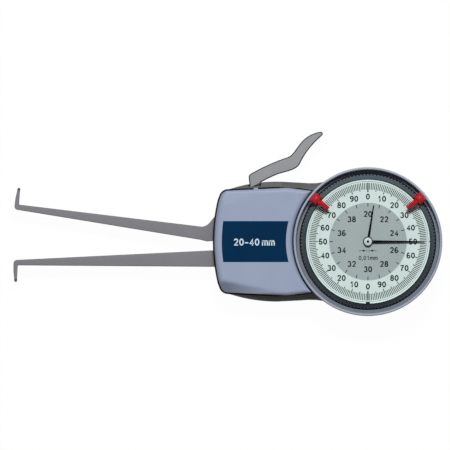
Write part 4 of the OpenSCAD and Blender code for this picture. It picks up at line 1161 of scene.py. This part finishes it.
dial_marks = []
for i in range(OUTER_DIVISIONS):
    turn = 90 - 360 * i / OUTER_DIVISIONS
    inner = TEN_IN if i % 10 == 0 else FIVE_IN if i % 5 == 0 else TICK_IN
    width = ZERO_W if i % 100 == 0 else TICK_W
    dial_marks.append(ribbon([out_from_axis(inner, turn), out_from_axis(TICK_OUT, turn)], width, DIAL_TOP))
for i in range(INNER_DIVISIONS):
    turn = 90 - 360 * i / INNER_DIVISIONS
    tick = [out_from_axis(INNER_TICK_IN, turn), out_from_axis(INNER_TICK_OUT, turn)]
    dial_marks.append(ribbon(tick, INNER_TICK_W, DIAL_TOP))
for turn, width, start in EDGE_NOTCHES:
    dial_marks.append(ribbon([out_from_axis(start, turn), out_from_axis(NOTCH_OUT, turn)], width, DIAL_TOP))
for side in (-1, 1):
    far, near = [side * reach for reach in ARROW_LINE]
    back, point, half_w = ARROW_HEAD
    head = [(side * back, ARROWS_Y - half_w), (side * point, ARROWS_Y), (side * back, ARROWS_Y + half_w)]
    dial_marks.append(ribbon([(far, ARROWS_Y), (side * point, ARROWS_Y)], ARROW_W, DIAL_TOP))
    dial_marks.append(ribbon([(near, ARROWS_Y - half_w), (near, ARROWS_Y + half_w)], ARROW_W, DIAL_TOP))
    dial_marks.append(loft([at_level(head, DIAL_TOP), at_level(head, DIAL_TOP + INK_H)]))
circle_in = CIRCLE_R - CIRCLE_W / 2
circle_out = CIRCLE_R + CIRCLE_W / 2
ink_top = DIAL_TOP + INK_H
dial_marks.append(turned_ring([(circle_in, DIAL_TOP), (circle_out, DIAL_TOP),
                               (circle_out, ink_top), (circle_in, ink_top)]))
dial_ink = moulded("dial_ink", (19, 22, 24), (13, 16, 18), per_metre=3500, depth=0.002, rough=0.6,
                   spread=0.1, Specular_IOR_Level=0.05)
make_piece("dial_scale_print", joined(*dial_marks), [dial_ink], "bezel_ring", "hand_black")

dial_numbers = []
for i in range(OUTER_NUMBERS):
    place = out_from_axis(OUTER_NUMBERS_R, 90 - 360 * i / OUTER_NUMBERS)
    dial_numbers.append(lettering(str(i % 10 * 10), OUTER_NUMBERS_H, place, DIAL_TOP, NUMBER_STROKE))
for i in range(INNER_NUMBERS):
    place = out_from_axis(INNER_NUMBERS_R, 90 - 360 * i / INNER_NUMBERS)
    dial_numbers.append(lettering(str(FIRST_NUMBER + 2 * i), INNER_NUMBERS_H, place, DIAL_TOP,
                                  NUMBER_STROKE))
dial_numbers.append(lettering(UNIT_TEXT, UNIT_H, UNIT_AT, DIAL_TOP))
make_piece("dial_numbers_print", joined(*dial_numbers), [dial_ink], "bezel_ring", "hand_black")

# Dial ring: a light distance ring between the dial and the glass, turned from aluminium and lacquered.
# Its inner wall closes the view under the bezel's lip. It and the gasket of the glass, like the bezel,
# throw no shadow on the dial.
ring_white = moulded("ring_white", (214, 220, 218), (206, 212, 210), per_metre=2000, depth=0.004,
                     rough=0.5, spread=0.1)
dress(ring_white, "dial_ring")
for hidden_edge in ("dial_ring", "crystal_gasket"):
    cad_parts[hidden_edge].visible_shadow = False

# Hands and cap: two slim stamped needles in black, the short one below, both pressed on their
# arbors, and a turned silver cap with a dark centre that holds the long one.
SHORT_HAND = (15.8, 1.05, 0.45, 2.15)
SHORT_TURN = 81
SHORT_LEVEL = 21.2
LONG_HAND = (24.4, 1.15, 0.42, 1.7)
LONG_TURN = 0
LONG_LEVEL = 21.9
HANDS = [("short_hand", SHORT_HAND, SHORT_TURN, SHORT_LEVEL, "short_hand_pipe"),
         ("long_hand", LONG_HAND, LONG_TURN, LONG_LEVEL, "long_hand_arbor")]
HAND_H = 0.25
HAND_EDGE = 0.06
BOSS_STEPS = 40
CAP_SIDES = 60
CAP_LOW = 22.15
DOT_R = 0.55
CAP_PROFILE = [(1.75, CAP_LOW), (1.85, 22.25), (1.85, 22.53), (1.79, 22.65), (1.65, 22.73), (1.5, 22.75),
               (DOT_R, 22.75), (DOT_R, 22.5)]


def needle(length, root_w, end_w, boss_r, turn):
    """Outline of a hand: a round boss that runs into a tapered needle."""
    spread_turn = math.degrees(math.asin(root_w / 2 / boss_r))
    line = [(length, -end_w / 2), (length, end_w / 2)]
    line += arc((0, 0), boss_r, spread_turn, 360 - spread_turn, BOSS_STEPS)
    return placed(line, (0, 0), turn)


hand_black = moulded("hand_black", (12, 13, 14), (8, 9, 10), per_metre=3000, depth=0.002, rough=0.7,
                     spread=0.1, Specular_IOR_Level=0.02)
for hand_name, hand_sizes, hand_turn, hand_level, hand_body in HANDS:
    hand_plate = rounded_plate(needle(*hand_sizes, hand_turn), flat(hand_level), flat(hand_level + HAND_H),
                               HAND_EDGE, 2)
    hand = make_piece(hand_name + "_needle", hand_plate, [hand_black], hand_body, "hand_black", hand_name)
    soften(hand)

# Its rounded rim is painted a light grey of its own: painted edge highlight round the cap.
cap_silver = ground_metal("cap_silver", (143, 152, 153), (138, 147, 148), rough=0.55, spread=0.06,
                          stretch=(500, 500, 500), rim=(140, 149, 150), depth=0.001,
                          Specular_IOR_Level=0.1)
cap_loops = [at_level(circle((0, 0), r, CAP_SIDES), z) for r, z in CAP_PROFILE]
cap = make_piece("hand_cap_turned", loft(cap_loops), [cap_silver, hand_black],
                 "long_hand_arbor", "cap_silver", "hand_cap")
for face in cap.data.polygons:
    centre = face.center / MM
    if centre.z > CAP_LOW + HAIR and math.hypot(centre.x, centre.y) < DOT_R + HAIR:
        face.material_index = 1
soften(cap)

# Window: a flat disc of clear mineral glass with ground edges, bloomed against reflections,
# pressed into the bezel on its gasket. Light goes straight through it to the dial and the hands.
GLASS_R = 26.95
GLASS_LOW = 23.02
GLASS_TOP = 23.88
GLASS_EDGE = 0.15
crystal_clear, glass_tree, glass_shader = new_finish("crystal_clear", {
    "Base Color": (0.97, 1, 0.99, 1), "Transmission Weight": 1, "IOR": 1.1})
glass_touch = node(glass_tree, "Group", {"Base": 0.02, "Spread": 0.02}, node_tree=handling)
glass_tree.links.new(glass_touch.outputs["Roughness"], glass_shader.inputs["Roughness"])
glass_path = node(glass_tree, "LightPath")
glass_lit = {0: glass_path.outputs["Is Shadow Ray"], 1: glass_path.outputs["Is Diffuse Ray"]}
glass_light = node(glass_tree, "Math", glass_lit, operation="MAXIMUM")
glass_glossy = {0: glass_path.outputs["Is Glossy Ray"], 1: glass_path.outputs["Is Transmission Ray"]}
glass_gleam = node(glass_tree, "Math", glass_glossy, operation="SUBTRACT")
glass_pass = node(glass_tree, "Math", {
    0: glass_light.outputs[0], 1: glass_gleam.outputs[0]}, operation="MAXIMUM")
glass_open = node(glass_tree, "BsdfTransparent")
glass_mix = node(glass_tree, "MixShader", {
    0: glass_pass.outputs[0], 1: glass_shader.outputs[0], 2: glass_open.outputs[0]})
glass_tree.links.new(glass_mix.outputs[0], glass_tree.nodes["Material Output"].inputs["Surface"])
glass_profile = [(GLASS_R - GLASS_EDGE, GLASS_LOW), (GLASS_R, GLASS_LOW + GLASS_EDGE),
                 (GLASS_R, GLASS_TOP - GLASS_EDGE), (GLASS_R - GLASS_EDGE, GLASS_TOP)]
glass_loops = [at_level(circle((0, 0), r, RING_STEPS), z) for r, z in glass_profile]
crystal = make_piece("crystal_disc", loft(glass_loops), [crystal_clear],
                     "bezel_ring", "crystal_clear", "crystal")
soften(crystal)

# Tolerance markers: two saddles of red plastic that clip over the bezel and slide round it. Each has
# a tapered tongue that steps down inside the bezel and points at the scale from just above the glass.
MARKERS = [("left", 140.9), ("right", 39.7)]
SADDLE = [(27.2, 25.2), (27.5, 24.6), (28, 23.7), (28.75, 22.6), (29.3, 22.25), (30.8, 22.2),
          (30.8, 25.7), (30.65, 26.4), (30.3, 27), (29.75, 27.42), (29.1, 27.6), (28.4, 27.55),
          (27.8, 27.25), (27.4, 26.7), (27.2, 26)]
SADDLE_CAPS = [(2.25, 25.3), (2.15, 26), (1.9, 26.7), (1.45, 27.2), (0.8, 27.52), (0.2, 27.6)]
TONGUE = [(27.6, 1.3, 25.55, 26.7), (26.5, 1.28, 25.55, 26.6), (26.38, 1.27, 24.1, 26.55),
          (22.65, 1.16, 24.1, 25.5), (22.1, 1.15, 24.1, 24.5)]
TONGUE_DRAFT = 0.6
MARKER_EDGE = 0.12
MARKER_EDGE_STEPS = 3
MARKER_EDGE_ANGLE = math.radians(40)
marker_red = moulded("marker_red", (182, 27, 37), (168, 21, 31), per_metre=1600, depth=0.01, rough=0.42,
                     spread=0.12, Specular_IOR_Level=0.15)
for marker_side, marker_turn in MARKERS:
    loops = []
    for across, cap_z in [(-half_w, z) for half_w, z in SADDLE_CAPS] + list(reversed(SADDLE_CAPS)):
        plan = placed([(r, across) for r, z in SADDLE], (0, 0), marker_turn)
        loops.append([(x, y, min(z, cap_z)) for (x, y), (r, z) in zip(plan, SADDLE)])
    marker = make_piece(marker_side + "_marker_saddle", loft(loops), [marker_red],
                        marker_side + "_tolerance_marker", "marker_red", marker_side + "_marker")
    tongue = []
    for r, half_w, low, high in TONGUE:
        top_half_w = half_w - TONGUE_DRAFT
        section = [(-half_w, low), (half_w, low), (top_half_w, high), (-top_half_w, high)]
        plan = placed([(r, across) for across, z in section], (0, 0), marker_turn)
        tongue.append([(x, y, z) for (x, y), (across, z) in zip(plan, section)])
    reshape(marker, loft(tongue), "UNION")
    rounding = marker.modifiers.new("rounded_rims", "BEVEL")
    rounding.width = MARKER_EDGE * MM
    rounding.segments = MARKER_EDGE_STEPS
    rounding.limit_method = "ANGLE"
    rounding.angle_limit = MARKER_EDGE_ANGLE
    soften(marker)
